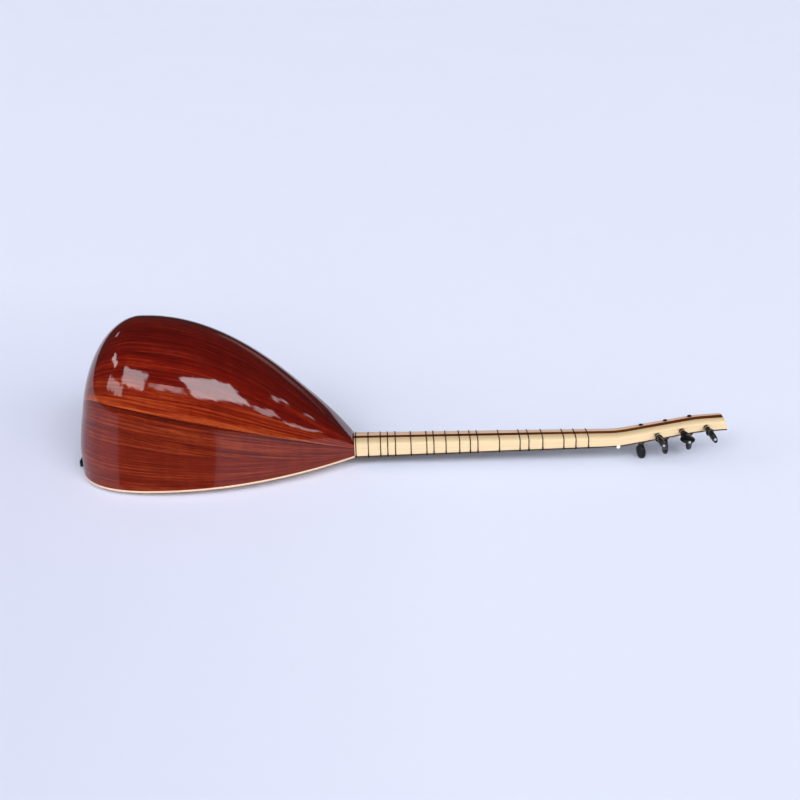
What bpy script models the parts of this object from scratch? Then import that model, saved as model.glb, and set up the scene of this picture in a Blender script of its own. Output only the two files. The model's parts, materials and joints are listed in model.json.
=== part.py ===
"""Short-necked saz: a staved bowl, a long neck with tied frets and a head with six friction pegs.

It lies face down, as it is put away: the bridge and the first front peg carry it. Lengths are in metres.
The instrument's own frame has +X from the tail to the head, -Y to the bass side and +Z out of the back,
with the front of the soundboard and of the fingerboard at z = 0.
"""
import math

import bmesh
import bpy
from mathutils import Matrix, Vector

# Clearances
GLUE_GAP = 0.0003
BLOCK_GAP = 0.0005
PEG_HOLE_CLEARANCE = 0.00035
STRING_CLEARANCE = 0.0003

# Bowl
BOWL_LENGTH = 0.3920
BOWL_HALF_WIDTH = 0.11435
BOWL_DEPTH = 0.2223
WIDEST_FROM_TAIL = 0.1321
DEEPEST_FROM_TAIL = 0.0964
TAIL_POLE_HEIGHT = 0.0750
NECK_POLE_HEIGHT = 0.0170
WALL_REACH = 0.3800
TAIL_FLARE = 0.0086
FLARE_FULL_HEIGHT = 0.0300
FLARE_END_HEIGHT = 0.1050
TAIL_PLAN_POWER = 2.534
TAIL_TOP_POWER = 1.813
TAIL_WALL_POWER = 10.0
ROOF_FALL_POWER = 1.93
ROOF_POWER = 2.0
ROOF_POWER_AT_NECK = 4.5
WALL_POWER = 2.434
STAVE_THICKNESS = 0.0030

# Edges of the bass side's staves, in degrees above the line through the poles, at places from the tail
STAVE_JOINT_PLACES = (0.0, 0.040, 0.100, 0.200, 0.280, 0.340, 0.375, 0.392)
STAVE_JOINT_ANGLES = (
    (12.0, 11.0, 8.5, 2.5, -1.0, -8.0, -15.0, -22.0),
    (46.0, 36.0, 30.5, 26.0, 21.7, 16.0, 8.0, -2.0),
    (60.0, 53.0, 49.0, 46.0, 39.0, 31.0, 20.0, 9.0),
    (72.0, 67.0, 65.0, 63.0, 58.0, 46.0, 36.0, 24.0),
    (84.0, 83.0, 82.0, 81.0, 77.0, 70.0, 62.0, 52.0),
)
STAVE_COLUMNS = 3
RIM_COLUMNS = 4
POLE_RADIUS = 0.0025
TAIL_ROW_ANGLES = (5.0, 12.0, 20.0, 28.0, 36.0, 45.0, 54.0, 63.0, 72.0, 81.0, 90.0)
NECKWARD_ROWS = 10
NECKWARD_CROWDING = 1.35

# Soundboard and the pieces inside the bowl
SOUNDBOARD_THICKNESS = 0.0030
LINING_WIDTH = 0.0050
LINING_HEIGHT = 0.0070
BRACE_WIDTH = 0.0060
BRACE_HEIGHT = 0.0080
BRACES_FROM_TAIL = (0.1220, 0.2120)
TAIL_BLOCK_HALF_WIDTH = 0.0190
TAIL_BLOCK_LENGTH = 0.0180
TAIL_BLOCK_HEIGHT = 0.0450
NECK_BLOCK_ROW_COUNT = 2
SOUND_HOLE_RADIUS = 0.0085
SOUND_HOLE_OFFSET = 0.0420
SOUND_HOLE_HEIGHT = 0.0400

# Neck and head
NECK_HALF_WIDTH_AT_BOWL = 0.0215
NECK_DEPTH_AT_BOWL = 0.0240
NECK_HALF_WIDTH_AT_NUT = 0.0177
NECK_DEPTH_AT_NUT = 0.0170
BACK_EDGE_WIDTH = 0.0035
BACK_EDGE_DEPTH = 0.0030
BACK_EDGE_STEPS = 4
STRIPE_HALF_WIDTH_AT_BOWL = 0.0034
STRIPE_HALF_WIDTH_AT_NUT = 0.0037
STRIPE_HALF_WIDTH_AT_END = 0.0045
FINGERBOARD_THICKNESS = 0.0022
HEAD_LENGTH = 0.1600
HEAD_END_HALF_WIDTH = 0.0165
HEAD_END_DEPTH = 0.0162
HEAD_END_SLANT = 0.0042
HEAD_SLOPE = 0.1650
HEAD_TIP_SLOPE = 0.0450
FIRST_BEND_FROM_NUT = 0.0040
FIRST_BEND_LENGTH = 0.0300
SECOND_BEND_FROM_NUT = 0.1200
SECOND_BEND_LENGTH = 0.0250

# Strings, nut, bridge and tailpiece
STRING_LENGTH = 0.7000
BRIDGE_FROM_TAIL = 0.0830
STRING_RADIUS = 0.00025
STRING_SIDES_RESOLUTION = 1
STRING_PLACES_AT_NUT = (-0.0136, -0.0112, -0.0012, 0.0012, 0.0112, 0.0136)
STRING_PLACES_AT_BRIDGE = (-0.0160, -0.0134, -0.0013, 0.0013, 0.0134, 0.0160)
STRING_PLACES_AT_TAIL = (-0.0120, -0.0090, -0.0030, 0.0030, 0.0090, 0.0120)
STRING_TAIL_END_HEIGHT = 0.0045
NOTCH_WIDTH = 0.0012
NOTCH_DEPTH = 0.0013
NUT_THICKNESS = 0.0050
NUT_HEIGHT = 0.0024
NUT_SEAT = 0.0025
BRIDGE_HEIGHT = 0.0090
BRIDGE_HALF_WIDTH = 0.0195
BRIDGE_FOOT_THICKNESS = 0.0060
BRIDGE_CREST_THICKNESS = 0.0026
BRIDGE_FOOT_LENGTH = 0.0080
BRIDGE_ARCH_HEIGHT = 0.0026
TAILPIECE_HALF_WIDTH = 0.0170
TAILPIECE_THICKNESS = 0.0067
TAILPIECE_FRONT = 0.0020
TAILPIECE_BACK = 0.0080
END_CHAMFER = 0.0015

# Frets, as string length over the stopped length
FRET_RATIOS = (
    1.0647, 1.0962, 1.1281, 1.1883, 1.2317, 1.2610, 1.3348, 1.4217, 1.4550, 1.5046,
    1.5732, 1.6395, 1.6812, 1.7814, 1.8921, 1.9529, 2.0125, 2.1240, 2.2500,
)
FRET_WIDTH = 0.0014
FRET_THICKNESS = 0.0008
FRET_KNOT_WIDTH = 0.0024
FRET_KNOT_THICKNESS = 0.0019
FRET_KNOT_HEIGHT = 0.0036
FRET_BOWL_MARGIN = 0.0012

# Pegs
FIRST_PEG_FROM_NUT = 0.0415
PEG_PITCH = 0.0181
PEG_PAIRS = 3
FRONT_PEG_OFFSET = 0.0096
SIDE_PEG_HEIGHT_SHARE = 0.45
PEG_LEAN = math.radians(3.0)
FRONT_PEG_REACHES = (0.0390, 0.0390, 0.0390)
SIDE_PEG_REACHES = (0.0370, 0.0410, 0.0440)
PEG_SHAFT_RADIUS = 0.00375
PEG_TIP_RADIUS = 0.00320
PEG_TIP_PROUD = 0.0006
PEG_HEAD_LENGTH = 0.0275
PEG_TAPER_END = 0.0090
PEG_COLLAR_RADIUS = 0.0060
PEG_COLLAR_LENGTH = 0.0024
PEG_WAIST_RADIUS = 0.0042
PEG_WAIST_LENGTH = 0.0030
PEG_GRIP_HALF_WIDTH = 0.0108
PEG_GRIP_HALF_THICKNESS = 0.0043
PEG_SIDES = 14
FRONT_PEG_TURNS = (65.0, 90.0, 118.0)
SIDE_PEG_TURNS = (120.0, 0.0, 115.0)

# A peg's grip: share of its length, of its half width and of its half thickness
PEG_GRIP_OUTLINE = (
    (0.11, 0.62, 0.97),
    (0.27, 0.88, 1.00),
    (0.47, 1.00, 1.00),
    (0.68, 0.93, 0.98),
    (0.86, 0.73, 0.90),
    (0.95, 0.53, 0.76),
    (1.00, 0.32, 0.58),
)
WINDING_TURNS = 4
WINDING_STEPS = 12
WINDING_GAP = 0.00045
WINDING_START = 0.0040

# Which string, counted from the bass side, goes to each front and side peg, and on which side it meets it
FRONT_PEG_STRINGS = ((4, 1), (5, 1), (3, -1))
SIDE_PEG_STRINGS = ((0, 1), (1, 1), (2, 1))
STRING_EDGE_LEAD = 0.0160
STRING_EDGE_CLEARANCE = 0.0006

# Places that follow from the sizes above
NUT_FROM_TAIL = BRIDGE_FROM_TAIL + STRING_LENGTH
HEAD_END_FROM_TAIL = NUT_FROM_TAIL + HEAD_LENGTH
INSIDE_HEIGHT = SOUNDBOARD_THICKNESS + GLUE_GAP
NECK_WOOD_HEIGHT = FINGERBOARD_THICKNESS + GLUE_GAP

# Finishes: colour, roughness, metallic
MAHOGANY_RED = ((0.25, 0.035, 0.018), 0.18, 0.0)
MAHOGANY_BROWN = ((0.32, 0.075, 0.030), 0.18, 0.0)
PALE_SPRUCE = ((0.80, 0.62, 0.38), 0.35, 0.0)
INNER_SPRUCE = ((0.76, 0.60, 0.40), 0.60, 0.0)
HORNBEAM = ((0.86, 0.70, 0.46), 0.32, 0.0)
DARK_STRIPE = ((0.16, 0.050, 0.022), 0.32, 0.0)
DARK_BOARD = ((0.070, 0.028, 0.018), 0.38, 0.0)
BONE = ((0.88, 0.85, 0.76), 0.30, 0.0)
EBONY = ((0.022, 0.018, 0.017), 0.28, 0.0)
FRET_NYLON = ((0.12, 0.055, 0.028), 0.35, 0.0)
PLAIN_STEEL = ((0.62, 0.60, 0.57), 0.22, 1.0)


def remove_all_objects():
    for item in list(bpy.data.objects):
        bpy.data.objects.remove(item, do_unlink=True)


def between(low, high, fraction):
    return low + (high - low) * fraction


def clamp(value):
    return min(max(value, 0.0), 1.0)


def make_material(name, finish):
    colour, roughness, metallic = finish
    material = bpy.data.materials.new(name)
    material.use_nodes = True
    shader = material.node_tree.nodes["Principled BSDF"]
    shader.inputs["Base Color"].default_value = (*colour, 1.0)
    shader.inputs["Roughness"].default_value = roughness
    shader.inputs["Metallic"].default_value = metallic
    material.diffuse_color = (*colour, 1.0)
    return material


def place(data, name, finish, holder):
    item = bpy.data.objects.new(name, data)
    bpy.context.scene.collection.objects.link(item)
    item.parent = holder
    if finish is not None:
        data.materials.append(make_material(name, finish))
    return item


def add_quad(shape, corners, core):
    """Add a four-cornered face. With a core given it is split along the diagonal further from the core."""
    if core is None:
        shape.faces.new(corners)
        return
    if core((corners[0].co + corners[2].co) / 2.0) < core((corners[1].co + corners[3].co) / 2.0):
        corners = corners[1:] + corners[:1]
    shape.faces.new((corners[0], corners[1], corners[2]))
    shape.faces.new((corners[0], corners[2], corners[3]))


def cap(shape, row, folded):
    """Close an end. A folded row runs out along one skin and back along the other: it closes in strips."""
    if not folded:
        shape.faces.new(row)
        return
    half = len(row) // 2
    for index in range(half - 1):
        shape.faces.new((row[index], row[index + 1], row[-index - 2], row[-index - 1]))


def loft_mesh(name, sections, closed_lengthwise=False, smooth_angle=None, folded=False, core=None):
    """Skin a row of closed sections with equally many points. Open rows are capped at both ends."""
    shape = bmesh.new()
    rows = [[shape.verts.new(point) for point in section] for section in sections]
    count = len(rows[0])
    pairs = list(zip(rows, rows[1:]))
    if closed_lengthwise:
        pairs.append((rows[-1], rows[0]))
    else:
        cap(shape, rows[0], folded)
        cap(shape, rows[-1], folded)
    for row, following in pairs:
        for index in range(count):
            beside = (index + 1) % count
            add_quad(shape, [row[index], row[beside], following[beside], following[index]], core)
    bmesh.ops.recalc_face_normals(shape, faces=shape.faces)
    mesh = bpy.data.meshes.new(name)
    shape.to_mesh(mesh)
    shape.free()
    if smooth_angle is not None:
        mesh.shade_smooth()
        mesh.set_sharp_from_angle(angle=math.radians(smooth_angle))
    return mesh


def cut_with(item, cutter, name):
    step = item.modifiers.new(name, "BOOLEAN")
    step.operation = "DIFFERENCE"
    step.solver = "EXACT"
    step.object = cutter


# The bowl's surface. An inset of zero is the outer skin; a larger inset is a skin that much further in.

def pole_height(x):
    return between(TAIL_POLE_HEIGHT, NECK_POLE_HEIGHT, x / BOWL_LENGTH)


def bowl_half_width(x, inset=0.0):
    if x >= WIDEST_FROM_TAIL:
        run = (x - WIDEST_FROM_TAIL) / (BOWL_LENGTH - WIDEST_FROM_TAIL)
        full = between(NECK_HALF_WIDTH_AT_BOWL, BOWL_HALF_WIDTH, 1.0 - run ** 2)
        return full - inset
    run = clamp((WIDEST_FROM_TAIL - x) / (WIDEST_FROM_TAIL - inset))
    return (BOWL_HALF_WIDTH - inset) * (1.0 - run ** TAIL_PLAN_POWER) ** (1.0 / TAIL_PLAN_POWER)


def bowl_roof(x, inset=0.0):
    """Height of the back above the line through the two poles."""
    if x >= DEEPEST_FROM_TAIL:
        run = (x - DEEPEST_FROM_TAIL) / (BOWL_LENGTH - DEEPEST_FROM_TAIL)
        depth = between(NECK_DEPTH_AT_BOWL, BOWL_DEPTH, 1.0 - run ** ROOF_FALL_POWER)
        return depth - inset - pole_height(x)
    run = clamp((DEEPEST_FROM_TAIL - x) / (DEEPEST_FROM_TAIL - inset))
    full = BOWL_DEPTH - inset - pole_height(DEEPEST_FROM_TAIL)
    return full * (1.0 - run ** TAIL_TOP_POWER) ** (1.0 / TAIL_TOP_POWER)


def bowl_wall(x, inset=0.0):
    """Reach of the side wall below the line through the poles, if the soundboard did not close it."""
    run = clamp((WIDEST_FROM_TAIL - x) / (WIDEST_FROM_TAIL - inset))
    return WALL_REACH * (1.0 - run ** TAIL_WALL_POWER) ** (1.0 / TAIL_WALL_POWER)


def roof_power(x):
    """The cross-section grows boxier over the last fifth of the bowl, towards the neck's own section."""
    return between(ROOF_POWER, ROOF_POWER_AT_NECK, clamp(5.0 * x / BOWL_LENGTH - 4.0) ** 2)


def bowl_radius(x, angle, inset=0.0):
    """Distance of the skin from the pole line, at an angle above the bass side."""
    sideways = abs(math.cos(angle))
    upward = abs(math.sin(angle))
    if math.sin(angle) >= 0.0:
        power, reach = roof_power(x), bowl_roof(x, inset)
    else:
        power, reach = WALL_POWER, bowl_wall(x, inset)
    total = (sideways / bowl_half_width(x, inset)) ** power + (upward / reach) ** power
    return total ** (-1.0 / power)


def flared(x, y, z):
    """The wall low at the tail reaches further out than the wall at the tail pole."""
    run = clamp((z - FLARE_FULL_HEIGHT) / (FLARE_END_HEIGHT - FLARE_FULL_HEIGHT))
    share = 1.0 - run ** 2 * (3.0 - 2.0 * run)
    reach = TAIL_FLARE * share * clamp(1.0 - x / WIDEST_FROM_TAIL)
    return Vector((x - reach, y, z))


def bowl_point(x, angle, inset=0.0):
    radius = bowl_radius(x, angle, inset)
    return flared(x, -radius * math.cos(angle), pole_height(x) + radius * math.sin(angle))


def wall_point(x, height, inset=0.0):
    """Point of the bass side wall at a height above the front face."""
    offset = pole_height(x) - height
    if offset >= 0.0:
        power, reach = WALL_POWER, bowl_wall(x, inset)
    else:
        power, reach = roof_power(x), bowl_roof(x, inset)
    share = clamp(1.0 - (abs(offset) / reach) ** power)
    return flared(x, -bowl_half_width(x, inset) * share ** (1.0 / power), height)


def tail_place(half_width, inset=0.0):
    """Where the plan outline has this half width, near the tail."""
    share = clamp(half_width / (BOWL_HALF_WIDTH - inset))
    run = (1.0 - share ** TAIL_PLAN_POWER) ** (1.0 / TAIL_PLAN_POWER)
    return WIDEST_FROM_TAIL - (WIDEST_FROM_TAIL - inset) * run


def row_places(inset=0.0):
    """Cross-section places from the tail to the neck, closer together where the tail turns."""
    places = []
    for angle in TAIL_ROW_ANGLES:
        turn = math.cos(math.radians(angle)) ** (2.0 / TAIL_PLAN_POWER) if angle < 90.0 else 0.0
        places.append(WIDEST_FROM_TAIL - (WIDEST_FROM_TAIL - inset) * turn)
    for step in range(1, NECKWARD_ROWS + 1):
        left = (1.0 - step / NECKWARD_ROWS) ** NECKWARD_CROWDING
        places.append(between(BOWL_LENGTH, WIDEST_FROM_TAIL, left))
    return places


def pole_row_place(angle, inset):
    """Where a stave's edge leaves the small circle round the tail pole."""
    low, high = inset, inset + POLE_RADIUS * 4.0
    for _ in range(60):
        middle = 0.5 * (low + high)
        if middle > inset and bowl_radius(middle, angle, inset) > POLE_RADIUS:
            high = middle
        else:
            low = middle
    return high


def mean_slope(places, values, index):
    """Mean slope of the one or two runs that meet at a place."""
    slopes = []
    for low in (index - 1, index):
        if 0 <= low < len(places) - 1:
            slopes.append((values[low + 1] - values[low]) / (places[low + 1] - places[low]))
    return sum(slopes) / len(slopes)


def smooth_value(places, values, x):
    """Height over x of a smooth curve through the given values."""
    index = 0
    while index < len(places) - 2 and x > places[index + 1]:
        index += 1
    length = places[index + 1] - places[index]
    run = clamp((x - places[index]) / length)
    rise = values[index + 1] - values[index]
    start = mean_slope(places, values, index) * length
    end = mean_slope(places, values, index + 1) * length
    square = 3.0 * rise - 2.0 * start - end
    cube = start + end - 2.0 * rise
    return values[index] + start * run + square * run ** 2 + cube * run ** 3


def stave_angles(x):
    """Edges of the staves over the back at one place, from the bass side to the treble side, in degrees."""
    bass = [smooth_value(STAVE_JOINT_PLACES, angles, x) for angles in STAVE_JOINT_ANGLES]
    return bass + [180.0 - angle for angle in reversed(bass)]


def narrowed(points, margin):
    """Draw the two end points of a row in by half the glue gap."""
    drawn = list(points)
    drawn[0] = points[0] + (points[1] - points[0]).normalized() * margin
    drawn[-1] = points[-1] + (points[-2] - points[-1]).normalized() * margin
    return drawn


def back_stave_section(x, number, inset):
    """One row of a stave. With no place given it is the row round the tail pole."""
    low, high = stave_angles(x or 0.0)[number:number + 2]
    points = []
    for step in range(STAVE_COLUMNS + 1):
        angle = math.radians(between(low, high, step / STAVE_COLUMNS))
        place_x = pole_row_place(angle, inset) if x is None else x
        points.append(bowl_point(place_x, angle, inset))
    return narrowed(points, GLUE_GAP / 2.0)


def rim_stave_section(x, inset, side):
    top_angle = math.radians(stave_angles(x)[0])
    top = bowl_point(x, top_angle, inset).z - GLUE_GAP / 2.0
    points = []
    for step in range(RIM_COLUMNS + 1):
        point = wall_point(x, between(INSIDE_HEIGHT, top, step / RIM_COLUMNS), inset)
        points.append(Vector((point.x, point.y * side, point.z)))
    return points


def from_pole_line(point):
    return math.hypot(point.y, point.z - pole_height(point.x))


def make_back_staves(holder):
    count = len(stave_angles(0.0)) - 1
    for number in range(count):
        sections = []
        rows = zip([None] + row_places(), [None] + row_places(STAVE_THICKNESS))
        for outer_x, inner_x in rows:
            outer = back_stave_section(outer_x, number, 0.0)
            inner = back_stave_section(inner_x, number, STAVE_THICKNESS)
            sections.append(outer + inner[::-1])
        name = "stave_%02d" % (number + 2)
        finish = MAHOGANY_RED if 0 < number < count - 1 else MAHOGANY_BROWN
        mesh = loft_mesh(name, sections, smooth_angle=30.0, folded=True, core=from_pole_line)
        place(mesh, name, finish, holder)
    return count + 2


def make_rim_stave(name, side, holder):
    sections = []
    outer_rows = [tail_place(GLUE_GAP / 2.0)] + row_places()
    inner_rows = [tail_place(GLUE_GAP / 2.0, STAVE_THICKNESS)] + row_places(STAVE_THICKNESS)
    for outer_x, inner_x in zip(outer_rows, inner_rows):
        outer = rim_stave_section(outer_x, 0.0, side)
        inner = rim_stave_section(inner_x, STAVE_THICKNESS, side)
        sections.append(outer + inner[::-1])
    mesh = loft_mesh(name, sections, smooth_angle=30.0, folded=True, core=from_pole_line)
    return place(mesh, name, MAHOGANY_BROWN, holder)


def make_sound_hole_cutter(holder):
    rings = []
    for x in (-2.0 * SOUND_HOLE_RADIUS, 2.0 * SOUND_HOLE_RADIUS):
        ring = []
        for step in range(20):
            angle = step * math.tau / 20
            y = SOUND_HOLE_OFFSET + SOUND_HOLE_RADIUS * math.cos(angle)
            z = SOUND_HOLE_HEIGHT + SOUND_HOLE_RADIUS * math.sin(angle)
            ring.append(Vector((x, y, z)))
        rings.append(ring)
    cutter = place(loft_mesh("sound_hole_cutter", rings), "sound_hole_cutter", None, holder)
    return hide_cutter(cutter)


def hide_cutter(cutter):
    cutter.hide_render = True
    cutter.display_type = "WIRE"
    return cutter


def make_bowl(holder):
    last = make_back_staves(holder)
    make_rim_stave("stave_01", 1.0, holder)
    treble_rim = make_rim_stave("stave_%02d" % last, -1.0, holder)
    cut_with(treble_rim, make_sound_hole_cutter(holder), "sound_hole")


def make_soundboard(holder):
    bass_edge = [wall_point(x, 0.0) for x in row_places()]
    treble_edge = [Vector((point.x, -point.y, point.z)) for point in reversed(bass_edge)]
    outline = bass_edge + treble_edge
    lift = Vector((0.0, 0.0, SOUNDBOARD_THICKNESS))
    mesh = loft_mesh("soundboard", [outline, [point + lift for point in outline]])
    place(mesh, "soundboard", PALE_SPRUCE, holder)


def neck_block_start():
    return row_places()[-1 - NECK_BLOCK_ROW_COUNT]


def make_lining(name, side, holder):
    outer_inset = STAVE_THICKNESS + GLUE_GAP
    inner_inset = outer_inset + LINING_WIDTH
    start = TAIL_BLOCK_HALF_WIDTH + 2.0 * GLUE_GAP
    end = neck_block_start() - GLUE_GAP
    sections = []
    for outer_x, inner_x in zip(row_places(outer_inset), row_places(inner_inset)):
        if bowl_half_width(inner_x, inner_inset) < start or outer_x > end:
            continue
        section = []
        for x, inset in ((outer_x, outer_inset), (inner_x, inner_inset)):
            section.append(wall_point(x, INSIDE_HEIGHT, inset))
            section.append(wall_point(x, INSIDE_HEIGHT + LINING_HEIGHT, inset))
        ordered = (section[0], section[1], section[3], section[2])
        sections.append([Vector((point.x, point.y * side, point.z)) for point in ordered])
    place(loft_mesh(name, sections, smooth_angle=30.0), name, INNER_SPRUCE, holder)


def make_block(name, low, high, finish, holder):
    corners = ((low.y, low.z), (high.y, low.z), (high.y, high.z), (low.y, high.z))
    sections = [[Vector((x, y, z)) for y, z in corners] for x in (low.x, high.x)]
    return place(loft_mesh(name, sections), name, finish, holder)


def make_braces(holder):
    reach_inset = STAVE_THICKNESS + LINING_WIDTH + 2.0 * GLUE_GAP
    for name, centre in zip(("brace_tail", "brace_neck"), BRACES_FROM_TAIL):
        ends = (centre - BRACE_WIDTH / 2.0, centre + BRACE_WIDTH / 2.0)
        reach = min(-wall_point(x, INSIDE_HEIGHT, reach_inset).y for x in ends)
        low = Vector((ends[0], -reach, INSIDE_HEIGHT))
        high = Vector((ends[1], reach, INSIDE_HEIGHT + BRACE_HEIGHT))
        make_block(name, low, high, INNER_SPRUCE, holder)


def make_tail_block(holder):
    wall = tail_place(1.1 * TAIL_BLOCK_HALF_WIDTH, STAVE_THICKNESS)
    near = flared(wall, 0.0, TAIL_BLOCK_HEIGHT).x + BLOCK_GAP
    low = Vector((near, -TAIL_BLOCK_HALF_WIDTH, INSIDE_HEIGHT))
    high = Vector((near + TAIL_BLOCK_LENGTH, TAIL_BLOCK_HALF_WIDTH, TAIL_BLOCK_HEIGHT))
    make_block("tail_block", low, high, INNER_SPRUCE, holder)


def inside_outline(x, inset):
    """The whole inner outline at one place, from the bass edge over the back to the treble edge."""
    rim = rim_stave_section(x, inset, 1.0)
    points = rim[:-1]
    edges = stave_angles(x)
    for low, high in zip(edges, edges[1:]):
        for step in range(STAVE_COLUMNS):
            points.append(bowl_point(x, math.radians(between(low, high, step / STAVE_COLUMNS)), inset))
    points.append(bowl_point(x, math.radians(edges[-1]), inset))
    points += [Vector((point.x, -point.y, point.z)) for point in reversed(rim[:-1])]
    return points


def make_neck_block(holder):
    inset = STAVE_THICKNESS + BLOCK_GAP
    places = row_places()[-1 - NECK_BLOCK_ROW_COUNT:-1] + [BOWL_LENGTH - GLUE_GAP]
    sections = [inside_outline(x, inset) for x in places]
    mesh = loft_mesh("neck_block", sections, smooth_angle=30.0, core=from_pole_line)
    place(mesh, "neck_block", INNER_SPRUCE, holder)


# The neck and head. Both share one section: straight sides, rounded edges and a flat back.

def eased_ramp(x, centre, length):
    """Zero before a bend, a straight rise after it, and a smooth curve over the bend's length."""
    run = x - centre + length / 2.0
    if run <= 0.0:
        return 0.0
    if run >= length:
        return x - centre
    return run ** 2 / (2.0 * length)


def front_height(x):
    """Height of the fingerboard's and head's front face: level along the neck, rising along the head."""
    first = eased_ramp(x, NUT_FROM_TAIL + FIRST_BEND_FROM_NUT, FIRST_BEND_LENGTH)
    second = eased_ramp(x, NUT_FROM_TAIL + SECOND_BEND_FROM_NUT, SECOND_BEND_LENGTH)
    return HEAD_SLOPE * first - (HEAD_SLOPE - HEAD_TIP_SLOPE) * second


def along_neck(x, at_bowl, at_nut, at_end):
    if x <= NUT_FROM_TAIL:
        return between(at_bowl, at_nut, (x - BOWL_LENGTH) / (NUT_FROM_TAIL - BOWL_LENGTH))
    return between(at_nut, at_end, (x - NUT_FROM_TAIL) / HEAD_LENGTH)


def neck_half_width(x):
    return along_neck(x, NECK_HALF_WIDTH_AT_BOWL, NECK_HALF_WIDTH_AT_NUT, HEAD_END_HALF_WIDTH)


def neck_depth(x):
    return along_neck(x, NECK_DEPTH_AT_BOWL, NECK_DEPTH_AT_NUT, HEAD_END_DEPTH)


def stripe_half_width(x):
    return along_neck(x, STRIPE_HALF_WIDTH_AT_BOWL, STRIPE_HALF_WIDTH_AT_NUT, STRIPE_HALF_WIDTH_AT_END)


def back_edge(x, offset=0.0):
    """Points over the rounded edge of the bass half, from the straight side to the flat back."""
    centre_y = -neck_half_width(x) + BACK_EDGE_WIDTH
    centre_z = front_height(x) + neck_depth(x) - BACK_EDGE_DEPTH
    points = []
    for step in range(BACK_EDGE_STEPS + 1):
        angle = step * math.pi / 2.0 / BACK_EDGE_STEPS
        y = centre_y - (BACK_EDGE_WIDTH + offset) * math.cos(angle)
        z = centre_z + (BACK_EDGE_DEPTH + offset) * math.sin(angle)
        points.append(Vector((x, y, z)))
    return points


def slanted(section):
    """Slant the head's end face, so that the front reaches further out than the back."""
    if section[0].x < HEAD_END_FROM_TAIL:
        return section
    front = front_height(HEAD_END_FROM_TAIL)
    moved = []
    for point in section:
        reach = HEAD_END_SLANT * (1.0 - (point.z - front) / HEAD_END_DEPTH)
        moved.append(Vector((point.x + reach, point.y, point.z)))
    return moved


def neck_rows(start, end):
    """Section places between two ends: few along straight runs, close together in the bends."""
    places = [start]
    bends = ((FIRST_BEND_FROM_NUT, FIRST_BEND_LENGTH), (SECOND_BEND_FROM_NUT, SECOND_BEND_LENGTH))
    for centre, length in bends:
        for step in range(7):
            places.append(NUT_FROM_TAIL + centre + length * (step / 6.0 - 0.5))
    places.append(NUT_FROM_TAIL)
    inner = sorted(x for x in places[1:] if start + FRET_WIDTH < x < end - FRET_WIDTH)
    return [start] + inner + [end]


def make_neck_half(name, side, cutters, holder):
    sections = []
    for x in neck_rows(BOWL_LENGTH + GLUE_GAP, HEAD_END_FROM_TAIL):
        inner_y = -stripe_half_width(x) - GLUE_GAP
        floor = front_height(x) + NECK_WOOD_HEIGHT
        section = [Vector((x, -neck_half_width(x), floor))]
        section += back_edge(x)
        section.append(Vector((x, inner_y, front_height(x) + neck_depth(x))))
        section.append(Vector((x, inner_y, floor)))
        sections.append([Vector((point.x, point.y * side, point.z)) for point in slanted(section)])
    half = place(loft_mesh(name, sections, smooth_angle=40.0), name, HORNBEAM, holder)
    for cutter in cutters:
        cut_with(half, cutter, "peg_holes")


def make_stripe(cutter, holder):
    sections = []
    for x in neck_rows(BOWL_LENGTH + GLUE_GAP, HEAD_END_FROM_TAIL):
        low = front_height(x) + NECK_WOOD_HEIGHT
        high = front_height(x) + neck_depth(x)
        half = stripe_half_width(x)
        corners = ((-half, low), (half, low), (half, high), (-half, high))
        sections.append(slanted([Vector((x, y, z)) for y, z in corners]))
    stripe = place(loft_mesh("neck_stripe", sections), "neck_stripe", DARK_STRIPE, holder)
    cut_with(stripe, cutter, "peg_holes")


def make_board(name, start, end, holder):
    """A thin dark facing on the front of the neck or head."""
    sections = []
    for x in neck_rows(start, end):
        low = front_height(x)
        high = low + FINGERBOARD_THICKNESS
        half = neck_half_width(x)
        corners = ((-half, low), (half, low), (half, high), (-half, high))
        sections.append(slanted([Vector((x, y, z)) for y, z in corners]))
    return place(loft_mesh(name, sections), name, DARK_BOARD, holder)


# Notched bars: the nut, the bridge and the tailpiece all carry the six strings in open notches.

def notched_outline(half_width, base, crest, notches, chamfer):
    """Outline across the strings. The crest faces the front, so it lies below the base."""
    points = [(-half_width, base), (-half_width, crest + chamfer), (-half_width + chamfer, crest)]
    for y in notches:
        for edge, depth in ((-1, 0.0), (-1, NOTCH_DEPTH), (1, NOTCH_DEPTH), (1, 0.0)):
            points.append((y + edge * NOTCH_WIDTH / 2.0, crest + depth))
    points += [(half_width - chamfer, crest), (half_width, crest + chamfer), (half_width, base)]
    return points


def make_notched_bar(name, outline, thickness_at, centre_x, finish, holder):
    sections = []
    for side in (-1.0, 1.0):
        sections.append([Vector((centre_x + side * thickness_at(z) / 2.0, y, z)) for y, z in outline])
    place(loft_mesh(name, sections), name, finish, holder)


def make_nut(holder):
    base = NUT_SEAT
    outline = notched_outline(NECK_HALF_WIDTH_AT_NUT, base, -NUT_HEIGHT, STRING_PLACES_AT_NUT, 0.0008)
    centre = NUT_FROM_TAIL + NUT_THICKNESS / 2.0
    make_notched_bar("nut", outline, lambda z: NUT_THICKNESS, centre, BONE, holder)


def make_bridge(holder):
    base = -GLUE_GAP
    crest = -BRIDGE_HEIGHT
    outline = notched_outline(BRIDGE_HALF_WIDTH, base, crest, STRING_PLACES_AT_BRIDGE, END_CHAMFER)
    span = BRIDGE_HALF_WIDTH - BRIDGE_FOOT_LENGTH
    for step in range(9):
        angle = math.pi * step / 8.0
        outline.append((span * math.cos(angle), base - BRIDGE_ARCH_HEIGHT * math.sin(angle)))

    def thickness(z):
        return between(BRIDGE_FOOT_THICKNESS, BRIDGE_CREST_THICKNESS, clamp((base - z) / (base - crest)))

    make_notched_bar("bridge", outline, thickness, BRIDGE_FROM_TAIL, DARK_BOARD, holder)


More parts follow.
